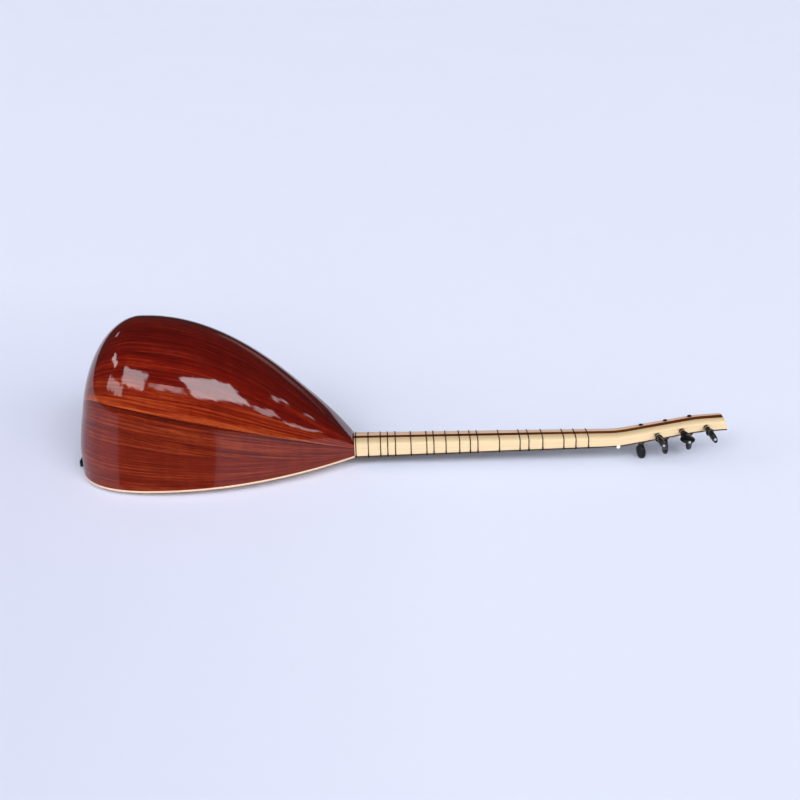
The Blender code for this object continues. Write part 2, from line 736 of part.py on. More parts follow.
def make_tailpiece(holder):
    outline = notched_outline(
        TAILPIECE_HALF_WIDTH, TAILPIECE_BACK, -TAILPIECE_FRONT, STRING_PLACES_AT_TAIL, END_CHAMFER
    )
    outline[-1] = (TAILPIECE_HALF_WIDTH, TAILPIECE_BACK - END_CHAMFER)
    outline.append((TAILPIECE_HALF_WIDTH - END_CHAMFER, TAILPIECE_BACK))
    outline.append((-TAILPIECE_HALF_WIDTH + END_CHAMFER, TAILPIECE_BACK))
    outline[0] = (-TAILPIECE_HALF_WIDTH, TAILPIECE_BACK - END_CHAMFER)
    centre = -TAIL_FLARE - GLUE_GAP - TAILPIECE_THICKNESS / 2.0
    make_notched_bar("tailpiece", outline, lambda z: TAILPIECE_THICKNESS, centre, EBONY, holder)


# Frets: each is a band tied round the neck, with its knot low on the bass side.

def fret_loop(x, offset, knot_offset):
    """Closed loop round the neck, a given distance outside it."""
    half_width = neck_half_width(x)
    knot_low = Vector((x, -half_width - offset, FRET_KNOT_HEIGHT - FRET_KNOT_WIDTH / 2.0))
    knot = Vector((x, -half_width - knot_offset, FRET_KNOT_HEIGHT))
    knot_high = Vector((x, -half_width - offset, FRET_KNOT_HEIGHT + FRET_KNOT_WIDTH / 2.0))
    bass_edge = back_edge(x, offset)
    treble_edge = [Vector((x, -point.y, point.z)) for point in reversed(bass_edge)]
    front_treble = Vector((x, half_width + offset, -offset))
    front_bass = Vector((x, -half_width - offset, -offset))
    return [front_bass, knot_low, knot, knot_high, *bass_edge, *treble_edge, front_treble]


def make_fret(number, x, holder):
    outer = GLUE_GAP + FRET_THICKNESS
    knot = GLUE_GAP + FRET_KNOT_THICKNESS
    loops = []
    corners = ((-1, GLUE_GAP, GLUE_GAP), (-1, outer, knot), (1, outer, knot), (1, GLUE_GAP, GLUE_GAP))
    for side, offset, knot_offset in corners:
        loop = fret_loop(x, offset, knot_offset)
        moved = []
        for index, point in enumerate(loop):
            width = FRET_KNOT_WIDTH if index == 2 else FRET_WIDTH
            moved.append(point + Vector((side * width / 2.0 - x, 0.0, 0.0)))
        loops.append(moved)
    name = "fret_%02d" % number
    mesh = loft_mesh(name, loops, closed_lengthwise=True, smooth_angle=40.0)
    fret = place(mesh, name, FRET_NYLON, holder)
    fret.location = (x, 0.0, 0.0)


def make_frets(holder):
    nearest = BOWL_LENGTH + FRET_WIDTH / 2.0 + FRET_BOWL_MARGIN
    for number, ratio in enumerate(FRET_RATIOS, start=1):
        x = NUT_FROM_TAIL - STRING_LENGTH * (1.0 - 1.0 / ratio)
        if x > nearest:
            make_fret(number, x, holder)


# Pegs: tapered shafts through the head, with a collar, a waist and a flattened grip.

def front_peg_frame(number):
    """Place where a front peg's axis meets the head's front face. Its local +Z points to the grip."""
    x = NUT_FROM_TAIL + FIRST_PEG_FROM_NUT + 2 * number * PEG_PITCH
    outward = Vector((math.sin(PEG_LEAN), 0.0, -math.cos(PEG_LEAN)))
    return axis_frame(Vector((x, FRONT_PEG_OFFSET, front_height(x))), outward, Vector((0.0, 1.0, 0.0)))


def side_peg_frame(number):
    """Place where a side peg's axis meets the head's bass side. Its local +Z points to the grip."""
    x = NUT_FROM_TAIL + FIRST_PEG_FROM_NUT + (2 * number + 1) * PEG_PITCH
    outward = Vector((math.sin(PEG_LEAN), -math.cos(PEG_LEAN), 0.0))
    middle = front_height(x) + SIDE_PEG_HEIGHT_SHARE * neck_depth(x)
    return axis_frame(Vector((x, -neck_half_width(x), middle)), outward, Vector((0.0, 0.0, -1.0)))


def axis_frame(origin, outward, sideways):
    forward = sideways.cross(outward)
    frame = Matrix((forward, sideways, outward)).transposed().to_4x4()
    frame.translation = origin
    return frame


def shaft_radius_at(depth, length):
    """The shaft tapers from its full radius outside the head to the tip's radius."""
    return between(PEG_TIP_RADIUS, PEG_SHAFT_RADIUS, clamp((depth + length) / (length + PEG_TAPER_END)))


def peg_mesh(name, length, reach):
    collar = reach - PEG_HEAD_LENGTH
    collar_end = collar + PEG_COLLAR_LENGTH
    waist = collar_end + PEG_WAIST_LENGTH
    rings = [
        (-length, PEG_TIP_RADIUS - 0.0005, PEG_TIP_RADIUS - 0.0005),
        (-length + 0.0005, PEG_TIP_RADIUS, PEG_TIP_RADIUS),
        (PEG_TAPER_END, PEG_SHAFT_RADIUS, PEG_SHAFT_RADIUS),
        (collar, PEG_SHAFT_RADIUS, PEG_SHAFT_RADIUS),
        (collar + 0.0003, PEG_COLLAR_RADIUS - 0.0005, PEG_COLLAR_RADIUS - 0.0005),
        (collar + 0.0010, PEG_COLLAR_RADIUS, PEG_COLLAR_RADIUS),
        (collar_end - 0.0004, PEG_COLLAR_RADIUS, PEG_COLLAR_RADIUS),
        (collar_end + 0.0005, PEG_COLLAR_RADIUS - 0.0010, PEG_COLLAR_RADIUS - 0.0010),
        (waist, PEG_WAIST_RADIUS, PEG_WAIST_RADIUS),
    ]
    for share, width_share, thickness_share in PEG_GRIP_OUTLINE:
        z = between(waist, reach, share)
        rings.append((z, PEG_GRIP_HALF_WIDTH * width_share, PEG_GRIP_HALF_THICKNESS * thickness_share))
    sections = []
    for z, half_width, half_thickness in rings:
        section = []
        for step in range(PEG_SIDES):
            angle = step * math.tau / PEG_SIDES
            section.append(Vector((half_width * math.cos(angle), half_thickness * math.sin(angle), z)))
        sections.append(section)
    return loft_mesh(name, sections, smooth_angle=45.0)


def make_peg_cutter(name, frames, length, holder):
    """Tapered holes, as wide as the shafts and the running clearance."""
    shape = bmesh.new()
    for frame in frames:
        rows = []
        for depth in (-length - 0.01, 0.005):
            radius = shaft_radius_at(depth, length) + PEG_HOLE_CLEARANCE
            ring = []
            for step in range(16):
                angle = step * math.tau / 16
                point = Vector((radius * math.cos(angle), radius * math.sin(angle), depth))
                ring.append(shape.verts.new(frame @ point))
            rows.append(ring)
        shape.faces.new(rows[0])
        shape.faces.new(rows[1])
        for index in range(16):
            beside = (index + 1) % 16
            shape.faces.new((rows[0][index], rows[0][beside], rows[1][beside], rows[1][index]))
    bmesh.ops.recalc_face_normals(shape, faces=shape.faces)
    mesh = bpy.data.meshes.new(name)
    shape.to_mesh(mesh)
    shape.free()
    return hide_cutter(place(mesh, name, None, holder))


def make_pegs(names, frames, length, reaches, turns, holder):
    for name, frame, reach, turn in zip(names, frames, reaches, turns):
        peg = place(peg_mesh(name, length, reach), name, EBONY, holder)
        peg.matrix_basis = frame @ Matrix.Rotation(math.radians(turn), 4, "Z")


# Strings: each runs from the tailpiece over the bridge and nut to its peg, and winds round the shaft.

def notch_seat(crest_height):
    """Height of a string's centre in a notch below a crest."""
    return -(crest_height - NOTCH_DEPTH + STRING_CLEARANCE + STRING_RADIUS)


def string_tail_points(number):
    y = STRING_PLACES_AT_TAIL[number]
    face = -TAIL_FLARE - GLUE_GAP - TAILPIECE_THICKNESS
    away = STRING_CLEARANCE + STRING_RADIUS
    seat = notch_seat(TAILPIECE_FRONT)
    floor = seat + away
    corner_turn = []
    for step in range(4):
        angle = math.radians(180.0 + 30.0 * step)
        corner_turn.append(Vector((face + away * math.cos(angle), y, floor + away * math.sin(angle))))
    return [Vector((face - away, y, STRING_TAIL_END_HEIGHT)), *corner_turn]


def string_neck_points(number):
    points = [Vector((BRIDGE_FROM_TAIL, STRING_PLACES_AT_BRIDGE[number], notch_seat(BRIDGE_HEIGHT)))]
    for x in (NUT_FROM_TAIL, NUT_FROM_TAIL + NUT_THICKNESS):
        points.append(Vector((x, STRING_PLACES_AT_NUT[number], notch_seat(NUT_HEIGHT))))
    return points


def winding_points(frame, side):
    radius = PEG_SHAFT_RADIUS + STRING_CLEARANCE + STRING_RADIUS
    pitch = WINDING_GAP + 2.0 * STRING_RADIUS
    points = []
    for step in range(WINDING_TURNS * WINDING_STEPS + 1):
        turned = step / WINDING_STEPS
        angle = side * (math.pi / 2.0 - math.tau * turned)
        depth = WINDING_START + pitch * turned
        points.append(frame @ Vector((radius * math.cos(angle), radius * math.sin(angle), depth)))
    return points


def head_edge_point(frame):
    """Where a string on its way to a side peg turns over the edge of the head."""
    x = frame.translation.x - STRING_EDGE_LEAD
    y = -neck_half_width(x) - STRING_EDGE_CLEARANCE
    return Vector((x, y, front_height(x) - STRING_EDGE_CLEARANCE))


def least_gap_in_winding(points):
    """Smallest clear distance between two turns, measured on the points."""
    turn = WINDING_STEPS
    gaps = []
    for index in range(len(points) - turn // 2):
        for other in range(index + turn // 2, len(points)):
            gaps.append((points[index] - points[other]).length - 2.0 * STRING_RADIUS)
    return min(gaps)


def make_string(number, frame, side, over_edge, holder):
    points = string_tail_points(number) + string_neck_points(number)
    if over_edge:
        points.append(head_edge_point(frame))
    winding = winding_points(frame, side)
    points += winding
    name = "string_%d" % (number + 1)
    curve = bpy.data.curves.new(name, "CURVE")
    curve.dimensions = "3D"
    spline = curve.splines.new("POLY")
    spline.points.add(len(points) - 1)
    for target, point in zip(spline.points, points):
        target.co = (*point, 1.0)
    curve.bevel_depth = STRING_RADIUS
    curve.bevel_resolution = STRING_SIDES_RESOLUTION
    curve.use_fill_caps = True
    place(curve, name, PLAIN_STEEL, holder)
    print("%s: least gap between turns %.2f mm" % (name, 1000.0 * least_gap_in_winding(winding)))


def make_strings(front_frames, side_frames, holder):
    for frame, (number, side) in zip(front_frames, FRONT_PEG_STRINGS):
        make_string(number, frame, side, False, holder)
    for frame, (number, side) in zip(side_frames, SIDE_PEG_STRINGS):
        make_string(number, frame, side, True, holder)


def rest_angle():
    """Slope of the instrument on its two supports, the bridge's crest and the first front peg's end."""
    peg_end = front_peg_frame(0) @ Vector((0.0, 0.0, FRONT_PEG_REACHES[0]))
    return math.atan2(-peg_end.z - BRIDGE_HEIGHT, peg_end.x - BRIDGE_FROM_TAIL)


def settle(holder):
    """Stand the part on the level z = 0, with the middle of its box over the origin."""
    holder.rotation_euler = (0.0, -rest_angle(), 0.0)
    bpy.context.view_layer.update()
    graph = bpy.context.evaluated_depsgraph_get()
    corners = []
    for item in bpy.context.scene.objects:
        if item.type == "EMPTY" or item.hide_render:
            continue
        solid = item.evaluated_get(graph)
        mesh = solid.to_mesh()
        corners += [solid.matrix_world @ vertex.co for vertex in mesh.vertices]
        solid.to_mesh_clear()
    low = [min(corner[axis] for corner in corners) for axis in range(3)]
    high = [max(corner[axis] for corner in corners) for axis in range(3)]
    holder.location = (-(low[0] + high[0]) / 2.0, -(low[1] + high[1]) / 2.0, -low[2])
    bpy.context.view_layer.update()


def main():
    remove_all_objects()
    holder = bpy.data.objects.new("instrument", None)
    bpy.context.scene.collection.objects.link(holder)
    front_frames = [front_peg_frame(number) for number in range(PEG_PAIRS)]
    side_frames = [side_peg_frame(number) for number in range(PEG_PAIRS)]
    front_length = NECK_DEPTH_AT_NUT + PEG_TIP_PROUD
    side_length = 2.0 * NECK_HALF_WIDTH_AT_NUT + PEG_TIP_PROUD
    front_cutter = make_peg_cutter("front_peg_holes", front_frames, front_length, holder)
    side_cutter = make_peg_cutter("side_peg_holes", side_frames, side_length, holder)

    make_bowl(holder)
    make_soundboard(holder)
    make_lining("lining_bass", 1.0, holder)
    make_lining("lining_treble", -1.0, holder)
    make_braces(holder)
    make_tail_block(holder)
    make_neck_block(holder)

    make_neck_half("neck_bass_half", 1.0, (side_cutter,), holder)
    make_neck_half("neck_treble_half", -1.0, (side_cutter, front_cutter), holder)
    make_stripe(side_cutter, holder)
    make_board("fingerboard", BOWL_LENGTH + GLUE_GAP, NUT_FROM_TAIL - GLUE_GAP, holder)
    plate_start = NUT_FROM_TAIL + NUT_THICKNESS + GLUE_GAP
    head_plate = make_board("head_plate", plate_start, HEAD_END_FROM_TAIL, holder)
    cut_with(head_plate, front_cutter, "peg_holes")
    make_nut(holder)
    make_bridge(holder)
    make_tailpiece(holder)
    make_frets(holder)

    front_names = ["peg_front_%d" % (number + 1) for number in range(PEG_PAIRS)]
    side_names = ["peg_side_%d" % (number + 1) for number in range(PEG_PAIRS)]
    make_pegs(front_names, front_frames, front_length, FRONT_PEG_REACHES, FRONT_PEG_TURNS, holder)
    make_pegs(side_names, side_frames, side_length, SIDE_PEG_REACHES, SIDE_PEG_TURNS, holder)
    make_strings(front_frames, side_frames, holder)
    settle(holder)


main()
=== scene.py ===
"""Looks of a saz lying face down: a lacquered staved bowl, a pale neck with tied frets and six pegs.

Lengths are in metres. Shapes are worked out in the instrument's own frame, with +X from the tail to
the head, -Y to the bass side and +Z out of the back, and are then carried to the place where the
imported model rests.
"""

import json
import math

import bmesh
import bpy
from mathutils import Matrix, Vector


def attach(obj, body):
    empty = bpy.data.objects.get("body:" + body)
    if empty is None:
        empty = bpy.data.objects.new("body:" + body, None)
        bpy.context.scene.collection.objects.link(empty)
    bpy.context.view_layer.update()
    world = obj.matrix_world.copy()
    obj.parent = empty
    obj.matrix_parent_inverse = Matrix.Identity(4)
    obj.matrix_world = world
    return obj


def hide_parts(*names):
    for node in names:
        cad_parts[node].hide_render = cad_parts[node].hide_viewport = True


# Bowl
BOWL_LENGTH = 0.3920
BOWL_HALF_WIDTH = 0.11435
BOWL_DEPTH = 0.2223
WIDEST_FROM_TAIL = 0.1321
DEEPEST_FROM_TAIL = 0.0964
TAIL_POLE_HEIGHT = 0.0750
NECK_POLE_HEIGHT = 0.0170
WALL_REACH = 0.3800
TAIL_FLARE = 0.0086
FLARE_FULL_HEIGHT = 0.0300
FLARE_END_HEIGHT = 0.1050
TAIL_PLAN_POWER = 2.534
TAIL_TOP_POWER = 1.813
TAIL_WALL_POWER = 10.0
ROOF_FALL_POWER = 1.93
ROOF_POWER = 2.0
ROOF_POWER_AT_NECK = 4.5
WALL_POWER = 2.434
STAVE_THICKNESS = 0.0030

# Edges of the bass side's staves, in degrees above the line through the poles, at places from the tail
STAVE_JOINT_PLACES = (0.0, 0.040, 0.100, 0.200, 0.280, 0.340, 0.375, 0.392)
STAVE_JOINT_ANGLES = (
    (12.0, 11.0, 8.5, 2.5, -1.0, -8.0, -15.0, -22.0),
    (46.0, 36.0, 30.5, 26.0, 21.7, 16.0, 8.0, -2.0),
    (60.0, 53.0, 49.0, 46.0, 39.0, 31.0, 20.0, 9.0),
    (72.0, 67.0, 65.0, 63.0, 58.0, 46.0, 36.0, 24.0),
    (84.0, 83.0, 82.0, 81.0, 77.0, 70.0, 62.0, 52.0),
)
STAVE_COUNT = 11
STAVE_COLUMNS = 12
RIM_COLUMNS = 18
TAILWARD_ROWS = 44
NECKWARD_ROWS = 60
POLE_RADIUS = 0.0025
JOINT_WIDTH = 0.00004
HALVINGS = 50
TAIL_ROW_CROWDING = 1.15
SOUNDBOARD_THICKNESS = 0.0030
SOUNDBOARD_TAIL_HALF_WIDTH = 0.0005
RIM_HEIGHT = 0.0031
SOUND_HOLE_RADIUS = 0.0085
SOUND_HOLE_OFFSET = 0.0420
SOUND_HOLE_HEIGHT = 0.0400
SOUND_HOLE_SIDES = 64

# Neck and head
NECK_HALF_WIDTH_AT_BOWL = 0.0215
NECK_DEPTH_AT_BOWL = 0.0240
NECK_HALF_WIDTH_AT_NUT = 0.0177
NECK_DEPTH_AT_NUT = 0.0170
BACK_EDGE_WIDTH = 0.0100
BACK_EDGE_DEPTH = 0.0042
BACK_EDGE_STEPS = 12
STRIPE_HALF_WIDTH_AT_BOWL = 0.0039
STRIPE_HALF_WIDTH_AT_NUT = 0.0043
STRIPE_HALF_WIDTH_AT_END = 0.0052
FINGERBOARD_THICKNESS = 0.0022
HEAD_LENGTH = 0.1600
HEAD_END_HALF_WIDTH = 0.0165
HEAD_END_DEPTH = 0.0162
HEAD_END_SLANT = 0.0042
HEAD_SLOPE = 0.1650
HEAD_TIP_SLOPE = 0.0450
FIRST_BEND_FROM_NUT = 0.0040
FIRST_BEND_LENGTH = 0.0300
SECOND_BEND_FROM_NUT = 0.1200
SECOND_BEND_LENGTH = 0.0250
NECK_ROW_SPACING = 0.0060
EDGE_EASE = 0.0004
NECK_JOINT_WIDTH = 0.00006
NECK_END_GAP = 0.0001

# Strings, nut, bridge and tailpiece
STRING_LENGTH = 0.7000
BRIDGE_FROM_TAIL = 0.0830
NUT_FROM_TAIL = BRIDGE_FROM_TAIL + STRING_LENGTH
HEAD_END_FROM_TAIL = NUT_FROM_TAIL + HEAD_LENGTH
STRING_RADIUS = 0.00025
STRING_SIDES = 10
STRING_PLACES_AT_NUT = (-0.0136, -0.0112, -0.0012, 0.0012, 0.0112, 0.0136)
STRING_PLACES_AT_BRIDGE = (-0.0160, -0.0134, -0.0013, 0.0013, 0.0134, 0.0160)
STRING_PLACES_AT_TAIL = (-0.0120, -0.0090, -0.0030, 0.0030, 0.0090, 0.0120)
STRING_TAIL_END_HEIGHT = 0.0045
STRING_TAIL_STEPS = 6
STRING_CLEARANCE = 0.0003
WOUND_STRINGS = (1, 4)
NOTCH_WIDTH = 0.0012
NOTCH_DEPTH = 0.0013
NUT_THICKNESS = 0.0050
NUT_HEIGHT = 0.0024
NUT_SEAT = 0.0025
NUT_CHAMFER = 0.0008
BRIDGE_HEIGHT = 0.0090
BRIDGE_HALF_WIDTH = 0.0195
BRIDGE_FOOT_THICKNESS = 0.0060
BRIDGE_CREST_THICKNESS = 0.0026
BRIDGE_FOOT_LENGTH = 0.0080
BRIDGE_ARCH_HEIGHT = 0.0026
BRIDGE_ARCH_STEPS = 16
TAILPIECE_HALF_WIDTH = 0.0170
TAILPIECE_THICKNESS = 0.0067
TAILPIECE_FRONT = 0.0020
TAILPIECE_BACK = 0.0080
END_CHAMFER = 0.0015
BAR_EDGE_EASE = 0.0002
BAR_EASED_ANGLE = 25.0
GLUE_GAP = 0.0003

# Frets, as string length over the stopped length
FRET_RATIOS = (
    1.0647, 1.0962, 1.1281, 1.1883, 1.2317, 1.2610, 1.3348, 1.4217, 1.4550, 1.5046,
    1.5732, 1.6395, 1.6812, 1.7814, 1.8921, 1.9529, 2.0125, 2.1240, 2.2500,
)
FRET_WIDTH = 0.0014
FRET_THICKNESS = 0.0008
FRET_STRANDS = 2
FRET_STRAND_ANGLES = (184.0, 144.0, 108.0, 72.0, 36.0, -4.0)
FRET_STRAND_CENTRE = 0.25
FRET_INNER_EDGE = 0.0001
FRET_CORNER = 0.0006
FRET_CORNER_STEPS = 4
FRET_SIDE_STEPS = 8
FRET_KNOT_HEIGHT = 0.0036
FRET_KNOT_WIDTH = 0.0024
FRET_KNOT_THICKNESS = 0.0019
FRET_KNOT_SIDE = 0.9

# Pegs
PEG_PAIRS = 3
FIRST_PEG_FROM_NUT = 0.0415
PEG_PITCH = 0.0181
FRONT_PEG_OFFSET = 0.0096
SIDE_PEG_HEIGHT_SHARE = 0.45
PEG_LEAN = math.radians(3.0)
FRONT_PEG_REACHES = (0.0390, 0.0390, 0.0390)
SIDE_PEG_REACHES = (0.0370, 0.0410, 0.0440)
FRONT_PEG_TURNS = (65.0, 90.0, 118.0)
SIDE_PEG_TURNS = (120.0, 0.0, 115.0)
PEG_SHAFT_RADIUS = 0.00375
PEG_TIP_RADIUS = 0.00320
PEG_TIP_PROUD = 0.0006
PEG_HEAD_LENGTH = 0.0275
PEG_TAPER_END = 0.0090
PEG_COLLAR_RADIUS = 0.0060
PEG_COLLAR_LENGTH = 0.0024
PEG_WAIST_RADIUS = 0.0042
PEG_WAIST_LENGTH = 0.0030
PEG_GRIP_HALF_WIDTH = 0.0108
PEG_GRIP_HALF_THICKNESS = 0.0043
PEG_TIP_ROUNDING = ((0.0, 0.0006), (0.0002, 0.0002), (0.0006, 0.0))
PEG_COLLAR_START = 0.0001
PEG_COLLAR_STEPS = 8
PEG_COLLAR_POWER = 0.6
PEG_GRIP_STEPS = 30
PEG_GRIP_CROWDING = 1.5
PEG_SIDES = 48
PEG_HOLE_CLEARANCE = 0.00025
PEG_HOLE_PAST_TIP = 0.0100
PEG_HOLE_PAST_FACE = 0.0050
PEG_DOT_RADIUS = 0.0020
PEG_DOT_PROUD = 0.0009
PEG_DOT_SIDES = 24
PEG_DOT_RINGS = ((-0.0032, 1.0), (-0.0006, 1.0), (-0.0003, 0.88), (-0.0001, 0.6), (0.0, 0.25))
FRONT_PEG_STRINGS = ((4, 1), (5, 1), (3, -1))
SIDE_PEG_STRINGS = ((0, 1), (1, 1), (2, 1))
STRING_EDGE_LEAD = 0.0160
STRING_EDGE_CLEARANCE = 0.0006
WINDING_TURNS = 4
WINDING_STEPS = 24
WINDING_GAP = 0.00045
WINDING_START = 0.0040

# A peg's grip from its waist to its end: share of its length, of its half width and of its half thickness
PEG_GRIP_OUTLINE = (
    (0.00, 0.39, 0.95),
    (0.11, 0.62, 0.97),
    (0.27, 0.88, 1.00),
    (0.47, 1.00, 1.00),
    (0.68, 0.93, 0.98),
    (0.86, 0.73, 0.90),
    (0.95, 0.53, 0.76),
    (1.00, 0.32, 0.58),
)

# Camera, in the instrument's frame: its place, its direction in degrees, its lens and sensor in mm
CAMERA_PLACE = (0.4399, -1.6247, 0.7749)
CAMERA_AZIMUTH = 0.776
CAMERA_ELEVATION = 23.116
CAMERA_ROLL = -1.70
CAMERA_LENS = 53.87
CAMERA_SENSOR = 36.0

# Light. Each window: degrees to the right of the view and up, half width and half height as slopes
# seen from the instrument, softness of its edge, brightness
ROOM_LIGHT = 0.13
MIRRORED_ROOM_LIGHT = 0.055
ROOM_TONE = (1.0, 1.005, 1.05, 1.0)
HORIZON_TONE = (0.755, 0.795, 0.960, 1.0)
WINDOWS = (
    (32.0, 37.0, 0.27, 0.18, 0.03, 8.2),
    (-30.0, 36.0, 0.26, 0.17, 0.03, 6.4),
    (1.0, 32.0, 0.17, 0.06, 0.04, 4.6),
    (-57.0, 20.0, 0.30, 0.105, 0.04, 4.2),
    (-81.0, 35.0, 0.16, 0.06, 0.02, 7.5),
    (-130.0, 28.0, 0.06, 0.05, 0.02, 3.0),
    (54.0, 23.5, 0.095, 0.06, 0.02, 5.0),
    (61.0, 16.0, 0.07, 0.05, 0.02, 5.0),
    (83.0, 34.0, 0.10, 0.035, 0.02, 5.0),
    (155.0, 17.0, 0.25, 0.10, 0.06, 0.35),
)
WINDOW_RAGGEDNESS = 0.15
WINDOW_RAGGED_SCALE = 11.0
FILL_LIGHT = 1.92
FILL_SPREAD = 60.0
FILL_LEAN = 56.0

# Floor, and the dark card that only reflections see. The floor has painted shade towards the tail
FLOOR_REACH = 30.0
FLOOR_TONES = ((0.770, 0.812, 0.965, 1.0), (0.790, 0.828, 0.975, 1.0))
FLOOR_PAINTED_SHADE_TONE = (0.700, 0.725, 0.885, 1.0)
FLOOR_SHADE_X = (0.10, -0.60)
FLOOR_SHADE_Y = (0.90, 0.20)
DARK_CARD_HEIGHT = 0.0005
DARK_CARD_CORNERS = ((-0.43, -0.125), (-28.0, -29.0), (8.5, -29.0), (-0.27, -0.125))
DARK_CARD_TONES = ((0.020, 0.018, 0.018, 1.0), (0.032, 0.028, 0.028, 1.0))

# Faces that meet at more than this many degrees keep a sharp edge between them
SHARP_ANGLE = 35.0
BOARD_SHARP_ANGLE = 30.0
STAVE_SHARP_ANGLE = 40.0
NECK_SHARP_ANGLE = 40.0
BAR_SHARP_ANGLE = 40.0
PEG_SHARP_ANGLE = 50.0
ROUND_SHARP_ANGLE = 60.0

# Patterns in the finishes. Three numbers say how often a pattern changes per metre, along, across and deep
BROAD_STREAKS = (2.2, 75.0, 40.0)
FINE_STREAKS = (8.0, 330.0, 200.0)
CURL = (70.0, 14.0, 10.0)
CURL_STRENGTH = 0.25
PORES = (60.0, 480.0, 300.0)
RING_WANDER = (3.0, 20.0, 20.0)
RING_WANDER_REACH = 0.012
RING_BLOTCHES = (6.0, 60.0, 60.0)
RING_TILT = 0.35
RING_SHARPNESS = 2.5
WAVES = (14.0, 22.0, 22.0)
WAVE_HEIGHT = 0.3
SPECKS = (900.0, 900.0, 900.0)
SPECK_HEIGHT = 0.4
SMEARS = (25.0, 40.0, 40.0)
STREAK_BUMP = 0.00006
SMALL_BUMP = 0.00005

# Finishes. Tones are dark, middle and light; tints make a stave lighter or darker over its width, partly in
# its own tone and partly as a painted highlight
LACQUER_IOR = 1.45
THIN_COAT_ROUGHNESS = 0.12
STRIPE_TONES = ((0.050, 0.010, 0.002), (0.105, 0.024, 0.004), (0.180, 0.050, 0.009))
BOARD_TONES = ((0.014, 0.005, 0.004), (0.034, 0.013, 0.008), (0.065, 0.028, 0.016))
EBONY_TONES = ((0.002, 0.002, 0.0025), (0.006, 0.0055, 0.007), (0.014, 0.012, 0.014))

# Each stave's finish, from the rim to the top one. Tones grow darker towards the top: partly the staves' own
# tone, partly painted shade on the top of the bowl
STAVE_TONES_WITH_PAINTED_SHADE = (
    ((0.060, 0.004, 0.002), (0.135, 0.012, 0.004), (0.235, 0.040, 0.012)),
    ((0.025, 0.002, 0.0012), (0.120, 0.010, 0.003), (0.250, 0.040, 0.010)),
    ((0.050, 0.0025, 0.0012), (0.150, 0.010, 0.0025), (0.330, 0.056, 0.012)),
    ((0.032, 0.0015, 0.001), (0.105, 0.004, 0.0015), (0.220, 0.020, 0.005)),
    ((0.024, 0.0015, 0.001), (0.080, 0.003, 0.0015), (0.165, 0.013, 0.005)),
    ((0.022, 0.0015, 0.001), (0.072, 0.003, 0.0015), (0.140, 0.010, 0.004)),
)
STAVE_COATS = (0.80, 0.90, 1.0, 1.0, 1.0, 1.0)
STAVE_COAT_ROUGHNESSES = (0.13, 0.09, 0.045, 0.045, 0.045, 0.045)
TINT_PLACES = (0.0, 0.08, 0.20, 0.50, 0.80, 0.92, 1.0)
# The third row's light lower edge is a painted highlight
STAVE_TINTS_AND_HIGHLIGHT = (
    (0.05, 0.0, 0.0, 0.0, 0.0, 0.0, 0.0),
    (0.05, 0.05, 0.0, 0.0, -0.05, -0.20, -0.28),
    (0.38, 0.20, 0.03, -0.02, 0.0, 0.03, 0.0),
    (0.08, 0.05, 0.0, -0.05, -0.05, -0.08, -0.12),
    (0.12, 0.05, 0.0, 0.0, -0.05, -0.05, -0.10),
    (-0.10, -0.05, 0.0, 0.0, 0.0, -0.05, -0.10),
)
STAVE_GRAIN_SHIFT = 0.37
STAVE_GRAIN_SIDE_SHIFT = 3.1
NECK_GRAIN_SHIFT = 0.2
BOARD_GRAIN_SHIFT = 0.1

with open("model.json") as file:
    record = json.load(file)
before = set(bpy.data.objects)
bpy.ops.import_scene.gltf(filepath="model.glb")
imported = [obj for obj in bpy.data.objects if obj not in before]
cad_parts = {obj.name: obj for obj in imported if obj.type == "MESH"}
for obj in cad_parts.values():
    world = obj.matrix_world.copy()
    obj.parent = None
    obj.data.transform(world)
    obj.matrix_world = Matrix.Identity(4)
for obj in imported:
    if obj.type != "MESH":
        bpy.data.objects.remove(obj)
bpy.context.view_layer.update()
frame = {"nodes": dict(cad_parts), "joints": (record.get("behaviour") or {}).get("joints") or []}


# Small helpers

def between(low, high, fraction):
    return low + (high - low) * fraction


def clamp(value):
    return min(max(value, 0.0), 1.0)


def joint_named(name):
    return next(joint for joint in frame["joints"] if joint["name"] == name)


def circle(radius, sides):
    """Corners of a regular polygon round zero, as pairs."""
    angles = [step * math.tau / sides for step in range(sides)]
    return [(radius * math.cos(angle), radius * math.sin(angle)) for angle in angles]


def add_object(name, data):
    item = bpy.data.objects.new(name, data)
    bpy.context.scene.collection.objects.link(item)
    return item


def mirrored(point, side=-1.0):
    """The point on the treble side with a side of minus one, and the point itself with one."""
    return Vector((point.x, point.y * side, point.z))


# The bowl's surface. An inset of zero is the outer skin; a larger inset is a skin that much further in.

def pole_height(x):
    return between(TAIL_POLE_HEIGHT, NECK_POLE_HEIGHT, x / BOWL_LENGTH)


def bowl_half_width(x, inset=0.0):
    if x >= WIDEST_FROM_TAIL:
        run = (x - WIDEST_FROM_TAIL) / (BOWL_LENGTH - WIDEST_FROM_TAIL)
        return between(NECK_HALF_WIDTH_AT_BOWL, BOWL_HALF_WIDTH, 1.0 - run ** 2) - inset
    run = clamp((WIDEST_FROM_TAIL - x) / (WIDEST_FROM_TAIL - inset))
    return (BOWL_HALF_WIDTH - inset) * (1.0 - run ** TAIL_PLAN_POWER) ** (1.0 / TAIL_PLAN_POWER)


def bowl_roof(x, inset=0.0):
    """Height of the back above the line through the two poles."""
    if x >= DEEPEST_FROM_TAIL:
        run = (x - DEEPEST_FROM_TAIL) / (BOWL_LENGTH - DEEPEST_FROM_TAIL)
        depth = between(NECK_DEPTH_AT_BOWL, BOWL_DEPTH, 1.0 - run ** ROOF_FALL_POWER)
        return depth - inset - pole_height(x)
    run = clamp((DEEPEST_FROM_TAIL - x) / (DEEPEST_FROM_TAIL - inset))
    full = BOWL_DEPTH - inset - pole_height(DEEPEST_FROM_TAIL)
    return full * (1.0 - run ** TAIL_TOP_POWER) ** (1.0 / TAIL_TOP_POWER)


